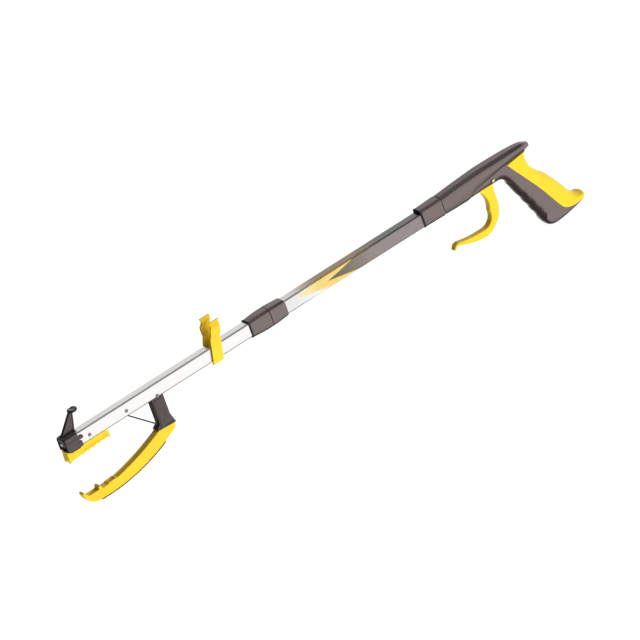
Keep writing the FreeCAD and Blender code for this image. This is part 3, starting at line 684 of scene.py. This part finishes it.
# ---- nose ---------------------------------------------------------------------------------
CAP_TOP = 11.6
CAP_BACK = 22.0
CAP_EASE = ((0.0, 1.6), (0.35, 0.9), (1.3, 0.2), (2.6, 0.0), (CAP_BACK - 2.4, 0.0), (CAP_BACK - 0.8, 0.3),
            (CAP_BACK - 0.1, 1.0), (CAP_BACK, 1.6))  # (x, how far in)
CAP_TABS = (((20.0, 5.6), ((27.4, 5.6), (28.8, 4.4), (28.8, 1.6), (27.4, 0.6), (20.0, 0.6))),
            ((20.0, -1.6), ((24.6, -1.6), (25.4, -2.4), (25.4, -8.6), (24.2, -9.4), (20.0, -9.4))))
CAP_BEVEL = ((0.8, -7.6), (8.2, -11.6))
POST = ((3.6, 10.6), ((25.6, 36.4), (29.4, 36.4), (24.6, 17.0), (22.4, 10.6)))
FLANGE_FRONT = ((2.2, 11.4), ((24.8, 37.0), (26.8, 37.0), (4.6, 11.4)))
FLANGE_REAR = ((21.0, 11.4), ((23.4, 17.2), (28.4, 37.0), (30.2, 37.0), (25.2, 17.0), (23.4, 11.4)))
HEAD = (31.4, 38.4, 7.1)
HEAD_ROWS = ((-2.4, 0.40), (-2.2, 0.72), (-1.5, 0.92), (-0.6, 1.0), (0.5, 1.0), (1.3, 0.95), (1.8, 0.86),
             (2.0, 0.74), (1.75, 0.60), (1.5, 0.35), (1.4, 0.12))   # (height, share of the radius)


def nose_cap():
    half = TUBE_HALF_W + 1.8
    rings = []
    for x, by in CAP_EASE:
        ring = box_ring(x, half - by, CAP_TOP - by, -CAP_TOP + by, 3.0, 3.0)
        rings.append([(max(px, front_of(z)) if x < 9.0 else px, y, z) for px, y, z in ring])
    rings += [box_ring(x, *bore(0.05)) for x in (CAP_BACK, CAP_BACK - 8.0)]
    shell = [rings_mesh(rings)]
    rib = rounded(trace((2.6, 4.4), [(20.4, 4.4), (20.4, 3.6), (2.6, 3.6)]), 0.3)
    for side in (-1, 1):
        middle = side * (TUBE_HALF_W + 1.0)
        shell += [plate(rounded(trace(*tab), 1.0), 0.95, 0.4, middle) for tab in CAP_TABS]
        shell.append(plate(rib, 0.5, 0.25, side * (half - 0.1)))
    ridge = rounded(trace((3.0, 11.0), [(3.6, 12.8), (24.0, 12.8), (24.8, 11.0)]), 0.6)
    shell.append(plate(ridge, 6.6, 0.6))
    piece("nose_cap_shell", joined(*shell), "frame", "black_plastic", ["nose_cap"])


def dressing_post():
    """The post on the cap: a web with a flange along its front and its back."""
    parts = [plate(rounded(trace(*POST), 1.2), 1.7, 0.4)]
    parts += [plate(rounded(trace(*flange), 0.5), 2.5, 0.5) for flange in (FLANGE_FRONT, FLANGE_REAR)]
    piece("dressing_post", joined(*parts), "frame", "black_plastic")


def post_head():
    """The round head of the post, with a shallow saddle across it."""
    x, z, radius = HEAD
    rings = []
    for along, share in HEAD_ROWS:
        spots = [(radius * share * a, radius * share * b) for a, b in circle(40)]
        rings.append([(x + px, py, z + along - 0.9 * math.exp(-(px / 2.6) ** 2) * max(0.0, along) / 2.0)
                      for px, py in spots])
    piece("post_head", rings_mesh(rings), "frame", "black_plastic")


def magnet():
    profile = [(3.0, 2.4), (0.1, 2.4), (-0.12, 2.25), (-0.15, 0.9), (0.05, 0.6), (0.08, 0.2)]
    disc = lathe(profile, (0.0, 2.0), "x")
    piece("magnet_disc", disc, "frame", "nickel_magnet", ["tip_magnet"])


def front_of(z):
    """How far back the nose's front is at height z, where its lower edge is cut away."""
    (x0, z0), (x1, z1) = CAP_BEVEL
    if z >= z0:
        return 0.0
    return x0 + (x1 - x0) * min(1.0, (z0 - z) / (z0 - z1))


# ---- jaws ---------------------------------------------------------------------------------
def fixed_jaw():
    """The yellow jaw under the nose: six teeth, a forked tip, a groove and a recess on each side."""
    top, back, tooth_pitch = -TUBE_HALF_H, 67.0, 8.6
    moves = [(0.4, -7.8), (0.8, -7.8), (8.2, -11.75), (22.2, -11.75), (22.2, top), (65.0, top),
             (66.9, top - 3.0), (back, -19.4)]
    for tooth in range(6):
        x = back - tooth_pitch * tooth
        point = -20.0 - 1.7 * (0.6 if tooth else 1.0) - 0.45 * tooth
        moves += [(x - 0.3, point + 0.5), (x - 1.2, point), (x - 1.9, point + 0.3)]
        moves += [(x - 4.7, point + 1.5, x - 8.3, point + 0.9)]
    moves += [(4.6, -22.8), (0.6, -25.1), (-0.4, -24.2)]
    outline = rounded(trace((-0.4, -20.0), moves, 0.9), 0.5)
    made = piece("upper_jaw", plate(outline, 6.4, 0.5), "frame", "yellow_plastic", ["fixed_jaw"])
    fork = [[(x, y * radius, middle + z * radius) for y, z in circle(20)]
            for x, radius, middle in ((-3.0, 4.9, -25.8), (6.0, 3.4, -25.2), (16.5, 1.2, -24.6))]
    groove = bar(trace((26.0, -30.0), [(62.0, -30.0), (62.0, -18.6), (26.0, -20.4)]), 2.4)
    panel = trace((25.6, -18.6), [(25.6, -12.4), (61.0, -12.4), (63.0, -17.2)])
    cut_away(made, [rings_mesh(fork), groove, *(bar(panel, 0.7, side * 6.4) for side in (-1, 1))])


def fixed_jaw_ribs():
    ribs = []
    for k in range(5):
        x, low = 29.5 + 7.6 * k, 0.34 * k
        rib = trace((x, -22.6 + low), [(x + 1.3, -22.4 + low), (x + 1.3, -17.5), (x, -17.5)])
        ribs.append(plate(rounded(rib, 0.3), 2.5, 0.2))
    piece("upper_jaw_ribs", joined(*ribs), "frame", "yellow_plastic")


JAW_OUTSIDE = ((24.0, -92.8), (92.0, -86.4), (150.0, -65.2))  # the arc that the rubber strip follows


def moving_jaw():
    low, middle, high = JAW_OUTSIDE
    heel = (133.2, -53.4)
    moves = [(159.6, -54.8), (157.4, -61.0, *high), (*middle, *low), (10.0, -88.4, 1.6, -73.2),
             (2.8, -72.0), (5.0, -72.2), (8.4, -78.4, 13.6, -79.2), (25.4, -79.2), (26.0, -75.2),
             (29.6, -74.8), (31.0, -79.6), (40.0, -79.6), (41.0, -78.4), (54.0, -77.6), (55.4, -78.2),
             (96.0, -67.8, *heel)]
    outline = rounded(trace(heel, moves, 1.4), 0.9)

    def narrow(x, y, z):
        return (x, y * (1.0 - 0.18 * max(0.0, (16.0 - x) / 16.0)), z)

    body = plate(outline, 5.9, 0.8, shape=narrow)
    made = piece("lower_jaw", body, "jaw", "yellow_plastic", ["moving_jaw"])
    channel = trace((57.5, -76.2), [(96.0, -66.2, 131.0, -52.8), (130.6, -53.9), (95.6, -68.6, 57.8, -78.6)])
    scoop = trace((10.0, -77.2), [(24.2, -77.0), (24.2, -80.4), (14.0, -80.4)])
    lip = trace((42.5, -76.0), [(53.0, -75.4), (53.0, -79.0), (42.5, -79.6)])
    cut_away(made, [bar(channel, 3.9), bar(scoop, 3.6), bar(lip, 3.9)])


STRIP_SECTION = ((5.6, 0.0), (6.1, 0.3), (6.2, 0.9), (5.7, 1.45), (4.4, 1.7))    # (half width, height)


def edge_strip():
    """The rubber strip: a crowned band with fine cross ribs along its outside."""
    low, middle, high = JAW_OUTSIDE
    path = [low] + arc_points(low, middle, high, 1.1)
    path = path[:int(len(path) * 0.9)]
    section = [(-y, up) for y, up in STRIP_SECTION] + [(0.0, 1.8)] + list(STRIP_SECTION[::-1])
    rings = []
    last = len(path) - 1
    for k, (x, z) in enumerate(path):
        a, b = path[max(k - 1, 0)], path[min(k + 1, last)]
        away = Vector((b[1] - a[1], -(b[0] - a[0]))).normalized()
        taper = min(1.0, 0.35 + 0.65 * min(k, last - k) / 3.0)
        rib = 0.16 if k % 2 else 0.0
        ring = []
        for y, up in section:
            grow = (up - (rib if up > 1.4 else 0.0)) * taper
            ring.append((x + away.x * grow, y, z + away.y * grow))
        rings.append(ring)
    piece("edge_strip", rings_mesh(rings), "jaw", "black_rubber", ["jaw_edge_strip"], 45.0)


def knuckle():
    """The arm that swings the moving jaw, with ribbed recesses, a foot and a boss at each of its pins."""
    px, pz = JAW_PIVOT
    radius = 9.6
    front, rear = px - radius, px + radius
    moves = [(front, pz), (px, pz + radius, rear, pz), (rear, -40.0), (160.2, -50.2), (160.6, -54.2),
             (133.0, -53.0), (132.4, -50.6)]
    parts = [plate(rounded(trace((front, -46.0), moves, 1.0), 1.2), 5.6, 0.6)]
    foot = rounded(trace((131.6, -51.0), [(160.9, -52.2), (161.2, -54.6), (131.8, -53.3)]), 0.5)
    parts.append(plate(foot, 6.5, 0.5))
    panel = rounded(trace((139.8, -45.6), [(139.8, -13.0), (155.4, -13.0), (155.4, -40.6), (158.0, -49.4),
                                           (138.6, -48.6)]), 1.0)
    for side in (-1, 1):
        parts.append(plate(panel, 0.5, 0.35, side * 5.8))
        for k in range(6):
            x = 141.6 + 2.4 * k
            rib = rounded(trace((x, -44.6), [(x, -15.0), (x + 0.8, -15.0), (x + 0.8, -44.6)]), 0.35)
            parts.append(plate(rib, 0.25, 0.15, side * 6.15))
    pivot_boss = ((5.2, 5.0), (6.2, 4.6), (6.25, 3.0), (5.4, 2.9))
    anchor_cap = ((5.2, 2.7), (6.3, 2.6), (6.4, 2.2), (6.42, 0.3))
    for profile, centre in ((pivot_boss, JAW_PIVOT), (anchor_cap, ANCHOR)):
        parts += [lathe([(side * along, r) for along, r in profile], centre) for side in (-1, 1)]
    piece("knuckle_block", joined(*parts), "jaw", "black_plastic", ["knuckle"])


# ---- tube fittings ------------------------------------------------------------------------
def collar_row(x, x0, x1):
    """The collar's outside at x, swelling towards its middle, with each half's ends (x0 and x1) eased."""
    grow = 1.6 + 1.3 * math.sin(math.pi * (x - COLLAR[0]) / (COLLAR[1] - COLLAR[0]))
    grow -= 0.45 * max(0.0, 1 - min(x - x0, x1 - x) / 0.9) ** 2
    return (x, TUBE_HALF_W + grow, TUBE_HALF_H + grow, -TUBE_HALF_H - grow, *SLEEVE_CORNERS)


def collars():
    for name, node, x0, x1 in (("front_half_collar", "collar_front", COLLAR[0], SEAM_X - 0.2),
                               ("rear_half_collar", "collar_rear", SEAM_X + 0.2, COLLAR[1])):
        places = [x0 + (x1 - x0) * k / 14 for k in range(15)]
        places += [x0 + 0.25, x0 + 0.6, x1 - 0.6, x1 - 0.25]
        rows = [collar_row(x, x0, x1) for x in sorted(places)]
        piece(name, sleeve(rows, bore(0.05)), "frame", "charcoal_plastic", [node])


# (along, how far in)
RIM_EASE = ((0.02, 0.7), (0.12, 0.25), (0.5, 0.0), (1.5, 0.0), (1.9, 0.25), (2.0, 0.7))


def dark_rims():
    """Thin black rings round the front ends of the front collar and the ferrule."""
    for name, x, half, top, low in (("collar_black_ring", COLLAR[0] - 0.9, 10.15, 11.85, -11.85),
                                    ("ferrule_black_ring", FERRULE[0] - 0.9, 10.5, 14.3, -10.7)):
        rows = [(x + along, half - by, top - by, low + by, *SLEEVE_CORNERS) for along, by in RIM_EASE]
        piece(name, sleeve(rows, bore(0.06)), "frame", "black_rubber", (), 50.0)


def clip():
    """The stick clip: a channel over the tube that opens upwards into two curved arms."""
    radius, cane_z, thick, lip_top = 11.0, 30.5, 2.6, 43.5
    inner, over = TUBE_HALF_W + 0.25, TUBE_HALF_H + 0.25
    outer, floor, under = inner + thick, over + thick, -over
    half_r = math.sqrt(0.5)
    back_r = radius + thick
    near, far = radius * half_r, back_r * half_r
    side = [(inner, over), (inner, under), (inner - 1.6, under), (inner - 1.6, under - 1.3),
            (inner, under - 2.5), (outer, under - 2.5), (outer, floor - 1.0)]
    arm = [(far - 0.2, cane_z - far), (back_r, cane_z, far, cane_z + far), (far + 2.6, lip_top),
           (far, lip_top), (near, cane_z + near), (radius, cane_z, near, cane_z - near)]
    right = trace((0.0, over), [*side, *arm, (inner - 1.2, floor), (0.0, floor)], 1.3)
    left = [(-y, z) for y, z in reversed(right)]
    ring = rounded(right + left[1:-1], 0.6)
    inner_ring = inset(ring, 0.25)
    middle, length, lean = 247.4, 8.1, math.tan(math.radians(12.4))
    ease = ((length, 0.6), (length - 0.18, 0.18), (length - 0.6, 0.0))  # (along, how far in)
    rings = []
    for along, by in [(-along, by) for along, by in ease] + list(ease[::-1]):
        row = []
        for (y, z), (iy, iz) in zip(ring, inner_ring):
            y, z = y + (iy - y) * by / 0.6, z + (iz - z) * by / 0.6
            waist = 1.0
            if along < 0:
                waist -= 0.10 * math.exp(-((z - 24.0) / 9.0) ** 2)
                waist -= 0.28 * math.exp(-((z - 37.5) / 3.4) ** 2)
            row.append((middle + lean * z + along * waist, y, z))
        rings.append(row)
    piece("stick_clip", rings_mesh(rings), "clip", "yellow_plastic", ["walking_aid_clip"], 40.0)


# ---- cable and wheels ---------------------------------------------------------------------
def hoop(centre, side, third, radius, count):
    """Points round a circle that lies in two directions, side and third."""
    return [tuple(centre + (side * a + third * b) * radius) for a, b in circle(count)]


def twisted(path, radius, sides=6, step=0.9):
    """A stranded wire along a path of points: outer strands wound round a core."""
    pitch, strands, strand_r = 7.0, 6, radius * 0.36
    lay_r = radius - strand_r
    points = [Vector((x, 0.0, z)) for x, z in path]
    spots = [points[0]]
    for a, b in zip(points, points[1:]):
        count = max(1, int((b - a).length / step))
        spots += [a.lerp(b, k / count) for k in range(1, count + 1)]
    parts = []
    side = Vector((0, 1, 0))
    for strand in list(range(strands)) + [None]:
        rings = []
        gone = 0.0
        for k, spot in enumerate(spots):
            ahead = (spots[min(k + 1, len(spots) - 1)] - spots[max(k - 1, 0)]).normalized()
            third = ahead.cross(side)
            if k:
                gone += (spot - spots[k - 1]).length
            if strand is None:
                rings.append(hoop(spot, side, third, lay_r * 0.9, sides))
                continue
            angle = 2 * math.pi * (gone / pitch + strand / strands)
            centre = spot + (side * math.cos(angle) + third * math.sin(angle)) * lay_r
            rings.append(hoop(centre, side, third, strand_r, sides))
        parts.append(rings_mesh(rings))
    return joined(*parts)


def cable():
    """The pull cable: its run in the tube, and its two ends, towards the jaw and towards the trigger."""
    dx, dz = ANCHOR[0] - PULLEY[0], ANCHOR[1] - PULLEY[1]
    leave = math.atan2(dz, dx) - math.acos(PULLEY_PATH_R / math.hypot(dx, dz))
    foot = on_circle(PULLEY, PULLEY_PATH_R, leave)
    turns = 14
    top = math.pi / 2
    wrap = [on_circle(PULLEY, PULLEY_PATH_R, top + (leave % (2 * math.pi) - top) * k / turns)
            for k in range(turns + 1)]
    roller = [on_circle(ROLLER, ROLLER_PATH_R, math.pi / 2 * k / 8) for k in range(9)]
    run = joined(twisted(wrap[::-1], CABLE_R),
                 twisted([wrap[0], roller[-1]], CABLE_R, step=1.4, sides=5),
                 twisted(roller[::-1], CABLE_R))
    piece("cable_run", run, "frame", "cable_steel", ["pull_cable"], 60.0, False)
    end = Vector(ANCHOR).lerp(Vector(foot), 0.035)
    span = twisted([foot, tuple(end)], CABLE_R * 1.25, step=0.7, sides=8)
    near = piece("cable_to_jaw", span, None, "cable_steel", (), 60.0, False)
    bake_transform(near)
    down = [roller[0], (NIPPLE[0], NIPPLE[1] + 2.4)]
    far = piece("cable_to_trigger", twisted(down, CABLE_R, step=0.7), None, "cable_steel", (), 60.0, False)
    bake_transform(far)
    cable_ferrule((Vector(foot) - Vector(ANCHOR)).normalized())


def cable_ferrule(direction):
    """The crimped sleeve where the cable meets the anchor."""
    start, along_cable = Vector((ANCHOR[0], 0, ANCHOR[1])), Vector((direction.x, 0, direction.y))
    side, third = Vector((0, 1, 0)), Vector((-direction.y, 0, direction.x))
    rings = [hoop(start + along_cable * along, side, third, radius, 16)
             for along, radius in ((2.0, 1.15), (2.2, 1.5), (8.6, 1.5), (9.4, 1.3), (9.6, 0.85))]
    piece("cable_ferrule", rings_mesh(rings), "jaw", "plated_steel")


RIVETS = (("nose_rivet", (39.0, -1.8)), ("pulley_rivet", PULLEY), ("jaw_rivet", JAW_PIVOT))
# (out from the tube's side, radius)
RIVET_HEAD = ((-0.12, 0.3), (-0.25, 0.9), (-0.72, 1.25), (-0.80, 1.6), (-0.66, 2.1), (-0.3, 2.45),
              (0.0, 2.5), (0.05, 1.6))


def rivets():
    """Pressed rivet heads with a shallow dimple, on both sides of the tube."""
    for name, centre in RIVETS:
        profile = [(-TUBE_HALF_W + out, radius) for out, radius in RIVET_HEAD]
        profile += [(-along, radius) for along, radius in reversed(profile)]
        piece(f"{name}_body", lathe(profile, centre, count=40), "frame", "rivet_aluminium", [name], 40.0)


# ---- handle -------------------------------------------------------------------------------
BARREL = ((618.0, 11.0, 15.0, -10.6), (634.0, 11.3, 16.2, -10.9), (650.0, 11.6, 17.3, -11.0),
          (685.0, 12.0, 19.0, -11.0), (712.0, 11.8, 18.8, -9.5), (738.0, 10.6, 18.2, -4.0),
          (755.0, 8.4, 16.8, 2.2), (764.0, 4.2, 13.6, 6.6))  # (x, half width, top, bottom)
BARREL_CORNERS = (5.4, 4.6)
BARREL_SHAPE = {"flats": 8, "belly": 0.15}
BARREL_FRONT = ((0.35, 0.7), (0.5, 0.3), (0.9, 0.05))  # (along, how far in)
BARREL_TAIL = ((0.6, 0.92), (1.2, 0.76), (1.7, 0.48), (1.9, 0.15))  # (past the end, share of the size)
CREASE = ((656.0, -12.0), (667.0, -3.6), (712.0, 4.4), (757.0, 8.0))
GRIP_WIDTH = ((8.0, 9.0), (-8.0, 10.6), (-22.0, 12.2), (-40.0, 13.2), (-58.0, 13.25), (-76.0, 13.35),
              (-90.0, 13.35), (-100.0, 13.2), (-107.0, 12.6))  # (height, half width)
GRIP_FRONT = ((-26.0, 719.2), (-40.0, 724.4), (-58.0, 731.6), (-76.0, 738.6), (-90.0, 744.0),
              (-99.0, 747.4))  # (height, x)
GRIP_BOTTOM = ((747.6, -99.2), (750.2, -103.4), (755.6, -106.4), (763.0, -107.0), (775.0, -106.0),
               (788.0, -103.6), (799.0, -100.8), (806.0, -98.2), (809.4, -96.0))
STRAP_EDGE = ((723.4, 3.4), (728.6, -5.4), (734.7, -15.6), (744.6, -32.2), (754.3, -48.7), (763.4, -66.4),
              (771.0, -81.4), (776.8, -90.6), (785.0, -95.0), (796.0, -96.0), (806.4, -94.4))
STRAP_BACK = ((757.0, 7.9), (753.6, 3.0), (753.2, -3.0), (753.9, -9.0), (757.2, -20.0), (765.0, -30.5),
              (774.0, -40.8), (784.4, -57.6), (789.6, -67.0), (794.6, -76.5), (800.4, -84.0),
              (806.4, -87.2), (811.4, -88.2), (813.6, -90.2), (813.2, -92.8), (810.2, -95.2))
TOP_ROWS = 40
GRIP_ROWS = 120
ACROSS = 22
ROUNDNESS = 2.3


def crease_line():
    """The line where the barrel sits on the grip, as the CAD has it."""
    return trace(CREASE[0], [CREASE[1], (*CREASE[2], *CREASE[3])], 2.0)


def crease_at(x):
    line = crease_line()
    for a, b in zip(line, line[1:]):
        if a[0] <= x <= b[0]:
            return a[1] + (b[1] - a[1]) * (x - a[0]) / (b[0] - a[0])
    return line[-1][1] if x > line[-1][0] else line[0][1]


def barrel():
    front, back = BARREL[0][0], BARREL[-1][0]
    upper, lower_most = BARREL_CORNERS
    fall_start = CREASE[0][0]
    places = [(front + along, by) for along, by in BARREL_FRONT]
    places += [(front + 2.0 + 4.0 * k, 0.0) for k in range(33)]
    places += [(back - before, 0.0) for before in (12.5, 9.0, 6.0, 3.5, 1.5, 0.0)]
    rings = []
    for x, by in places:
        half, top, low = (between(BARREL, x, column) for column in (1, 2, 3))
        half, top, low, lower = half - by, top - by, low + by, lower_most
        if x > fall_start:
            low = max(low, crease_at(x) - 0.5)
            lower = max(0.7, lower_most - 3.9 * min(1.0, (x - fall_start) / 10.0))
        rings.append(box_ring(x, half, top, low, upper, lower, **BARREL_SHAPE))
    x, half, top, low = BARREL[-1]
    middle = (top + low) / 2 + 0.4
    for past, share in BARREL_TAIL:
        rings.append([(x + past, y * share, middle + (z - middle) * share)
                      for _, y, z in box_ring(x, half, top, low, upper, 0.7, **BARREL_SHAPE)])
    piece("barrel_shell", rings_mesh(rings), "frame", "charcoal_plastic", ["barrel_cover"], 50.0)


def ferrule():
    start, length = FERRULE[0], FERRULE[1] - FERRULE[0]
    rows = []
    for along, by in ((0.0, 1.0), (0.15, 0.5), (0.6, 0.12), (1.4, 0.0), (9.0, 0.0), (17.0, 0.0), (25.0, 0.0),
                      (30.8, 0.0), (31.4, 0.1), (31.75, 0.4), (31.85, 0.9)):
        t = along / length
        half, top, low = 10.2 + 0.8 * t, 14.0 + 1.0 * t, -10.4 - 0.2 * t
        rows.append((start + along, half - by, top - by, low + by, *SLEEVE_CORNERS))
    inner = (TUBE_HALF_W + 0.5, TUBE_HALF_H + 0.6, -TUBE_HALF_H - 0.2, 2.8, 2.8)
    piece("front_ferrule", sleeve(rows, inner), "frame", "charcoal_plastic", ["handle_ferrule"], 50.0)
    core = [box_ring(x, 10.1, 14.2, -10.0, 4.0, 3.8) for x in (FERRULE[1] - 0.8, FERRULE[1] + 1.2)]
    piece("ferrule_spigot", rings_mesh(core), "frame", "black_plastic")


def resampled(points, count):
    """count + 1 points evenly along a line of points."""
    lengths = [0.0]
    for a, b in zip(points, points[1:]):
        lengths.append(lengths[-1] + math.dist(a, b))
    made = []
    for k in range(count + 1):
        want = lengths[-1] * k / count
        i = max(j for j in range(len(lengths) - 1) if lengths[j] <= want + 1e-9)
        t = (want - lengths[i]) / max(1e-9, lengths[i + 1] - lengths[i])
        made.append((points[i][0] + (points[i + 1][0] - points[i][0]) * t,
                     points[i][1] + (points[i + 1][1] - points[i][1]) * t))
    return made


def smooth_line(points, step=1.2):
    """A smooth line through points."""
    made = []
    for k in range(len(points) - 1):
        p0 = Vector(points[max(k - 1, 0)])
        p1, p2 = Vector(points[k]), Vector(points[k + 1])
        p3 = Vector(points[min(k + 2, len(points) - 1)])
        count = max(2, int((p2 - p1).length / step))
        for j in range(count):
            t = j / count
            made.append(tuple(0.5 * ((2 * p1) + (p2 - p0) * t + (2 * p0 - 5 * p1 + 4 * p2 - p3) * t ** 2
                                     + (3 * p1 - p0 - 3 * p2 + p3) * t ** 3)))
    made.append(tuple(points[-1]))
    return made


def eased(share):
    """The share kept between 0 and 1."""
    return min(1.0, max(0.0, share))


def width_at(x, z):
    """Half the handle's width at a place in its side view."""
    neck, wide = 10.0, between(GRIP_WIDTH, z, 1)
    back = eased((x - 705.0) / 22.0)
    back = back * back * (3 - 2 * back)
    near_top = eased((-6.0 - z) / 18.0)
    return neck + (wide - neck) * max(back * near_top, eased((-22.0 - z) / 12.0))


def skin(left, right, rim_left=None, rim_right=None, grow=0.0):
    """Near and far sheets between two lines in the side view, closed round the lines with a rim width."""
    near, far = [], []
    shares = [0.5 * (1 - math.cos(math.pi * k / ACROSS)) for k in range(ACROSS + 1)]
    for (lx, lz), (rx, rz) in zip(left, right):
        length = math.hypot(rx - lx, rz - lz)
        row = []
        for share in shares:
            x, z = lx + (rx - lx) * share, lz + (rz - lz) * share
            wide = width_at(x, z) + grow
            if rim_left:
                wide *= dome(share * length, min(rim_left(lx, lz), 0.97 * length))
            if rim_right:
                wide *= dome((1 - share) * length, min(rim_right(rx, rz), 0.97 * length))
            row.append((x, z, wide))
        near.append([(x, -w, z) for x, z, w in row])
        far.append([(x, w, z) for x, z, w in row])
    return near, far


def dome(gone, rim):
    """How full a domed edge is at a distance from it, where rim is how wide the dome is."""
    share = eased(gone / max(rim, 1e-6))
    return (1 - (1 - share) ** ROUNDNESS) ** (1 / ROUNDNESS)


def narrowed(sheets, edge, by):
    """The near and far sheets with the points along one of their edges moved in."""
    for sheet, side in zip(sheets, (-1, 1)):
        for row in sheet:
            x, y, z = row[edge]
            row[edge] = (x, y - side * by, z)
    return sheets


def closed_skin(near, far):
    """One closed mesh from two sheets of rows, stitched round their edges."""
    rows, count = len(near), len(near[0])
    verts = [point for sheet in (near, far) for row in sheet for point in row]
    base = rows * count
    faces = []
    for r in range(rows - 1):
        for k in range(count - 1):
            a = r * count + k
            faces.append((a, a + 1, a + count + 1, a + count))
            faces.append((base + a, base + a + count, base + a + count + 1, base + a + 1))
    rim = [r * count for r in range(rows)] + [(rows - 1) * count + k for k in range(1, count)]
    rim += [r * count + count - 1 for r in range(rows - 2, -1, -1)] + list(range(count - 2, 0, -1))
    for a, b in zip(rim, rim[1:] + rim[:1]):
        faces.append((a, base + a, base + b, b))
    return verts, faces


def strap_edge():
    """Where the strap meets the grip, in even steps."""
    return resampled(smooth_line(STRAP_EDGE), GRIP_ROWS)


def grooved_front():
    """The grip's front, with three finger grooves between two heights."""
    high, low = -44.0, -92.0
    front = []
    for z in [GRIP_FRONT[0][0] - 1.5 * k for k in range(49)]:
        x = between(GRIP_FRONT, z, 1)
        if low < z < high:
            down = high - z
            x += 1.1 * math.sin(math.pi * down / 16.0) ** 2 * math.sin(math.pi * down / (high - low)) ** 0.5
        front.append((x, z))
    return front


def front_rim(x, z):
    if z > -24.0 and x < 722.0:
        return 9.0 + max(0.0, (x - 700.0) / 20.0) * 6.0
    return 17.0 if z > -96.0 else 5.5


def grip():
    """The grip body under the barrel, with finger grooves down its front."""
    top = trace((657.6, -10.9), [(661.0, -11.2), (690.0, -11.3), (706.0, -11.7),
                                 (714.5, -15.2, 719.2, -26.0)])
    crease = [(x, z - 0.15) for x, z in crease_line() if x < 723.0 and z > -10.7] + [STRAP_EDGE[0]]
    front = grooved_front() + smooth_line(GRIP_BOTTOM)[1:]
    left = resampled(top, TOP_ROWS) + resampled(front, GRIP_ROWS)[1:]
    right = resampled(crease, TOP_ROWS) + strap_edge()[1:]
    sheets = narrowed(skin(left, right, rim_left=front_rim), -1, 0.5)
    piece("grip_body", closed_skin(*sheets), "frame", "charcoal_plastic", ["grip_left", "grip_right"], 40.0)


def back_rim(_, z):
    return 6.0 + 10.0 * eased((-z - 4.0) / 30.0) - 8.0 * eased((-z - 80.0) / 8.0)


def back_strap():
    """The yellow strap on the grip's back."""
    back = resampled(smooth_line(STRAP_BACK), GRIP_ROWS)
    sheets = narrowed(skin(strap_edge(), back, rim_right=back_rim, grow=0.25), 0, 0.6)
    piece("back_strap", closed_skin(*sheets), "frame", "yellow_plastic", ["grip_backstrap"], 40.0)


def trigger():
    """The trigger: a curved hook with a forked arm for the cable's nipple."""
    px, pz = TRIGGER_PIVOT
    nx, nz = NIPPLE
    pivot_r, arm_r = 6.4, 4.0
    hook = [(683.0, -30.0, 680.4, -42.0), (675.4, -57.0, 662.0, -61.4), (640.0, -60.2, 624.0, -57.2),
            (619.0, -58.4, 615.6, -62.2), (614.4, -64.4, 616.8, -64.6), (619.4, -62.4, 625.0, -62.0),
            (646.0, -69.4, 665.6, -72.0), (687.6, -58.2, 696.0, -30.0), (696.8, -14.0)]
    boss = [(px + pivot_r, pz), (px, pz + pivot_r, px - pivot_r, pz), (nx, nz + arm_r),
            (nx - arm_r, nz, nx, nz - arm_r)]
    outline = rounded(trace((677.0, -13.0), [*hook, *boss]), 1.5, 30.0)

    def shaped(x, y, z):
        return (x, y * (1.0 - 0.14 * eased((-50.0 - z) / 12.0) * eased((668.0 - x) / 30.0)), z)

    body = plate(outline, 5.6, 1.5, steps=6, shape=shaped)
    made = piece("trigger_hook", body, "trigger", "yellow_plastic", ["trigger"], 50.0)
    fork = trace((nx - 6.0, -12.8), [(nx - 6.0, 3.0), (nx + 8.0, 3.0), (nx + 8.0, -12.8)])
    cut_away(made, [bar(fork, 2.7)])


def trigger_pin():
    head = [(-11.6, 0.4), (-11.6, 1.5), (-11.45, 2.1), (-11.1, 2.45), (-10.7, 2.5), (-10.5, 1.9)]
    profile = head + [(-along, radius) for along, radius in reversed(head)]
    body = lathe(profile, TRIGGER_PIVOT, count=36)
    piece("trigger_pin_body", body, "frame", "brass", ["trigger_pin"], 40.0)


for build in (nose_cap, dressing_post, post_head, magnet, fixed_jaw, fixed_jaw_ribs, moving_jaw, edge_strip,
              knuckle, collars, dark_rims, clip, cable, rivets, barrel, ferrule, grip, back_strap, trigger,
              trigger_pin):
    build()

# ---- CAD pieces that are shown as they are ---------------------------------------------------
for entry in frame["record"]["subparts"]:
    node = NODES[entry["node"]]
    node.data.materials.clear()
    node.data.materials.append(MATERIALS[entry["material_slot"]])
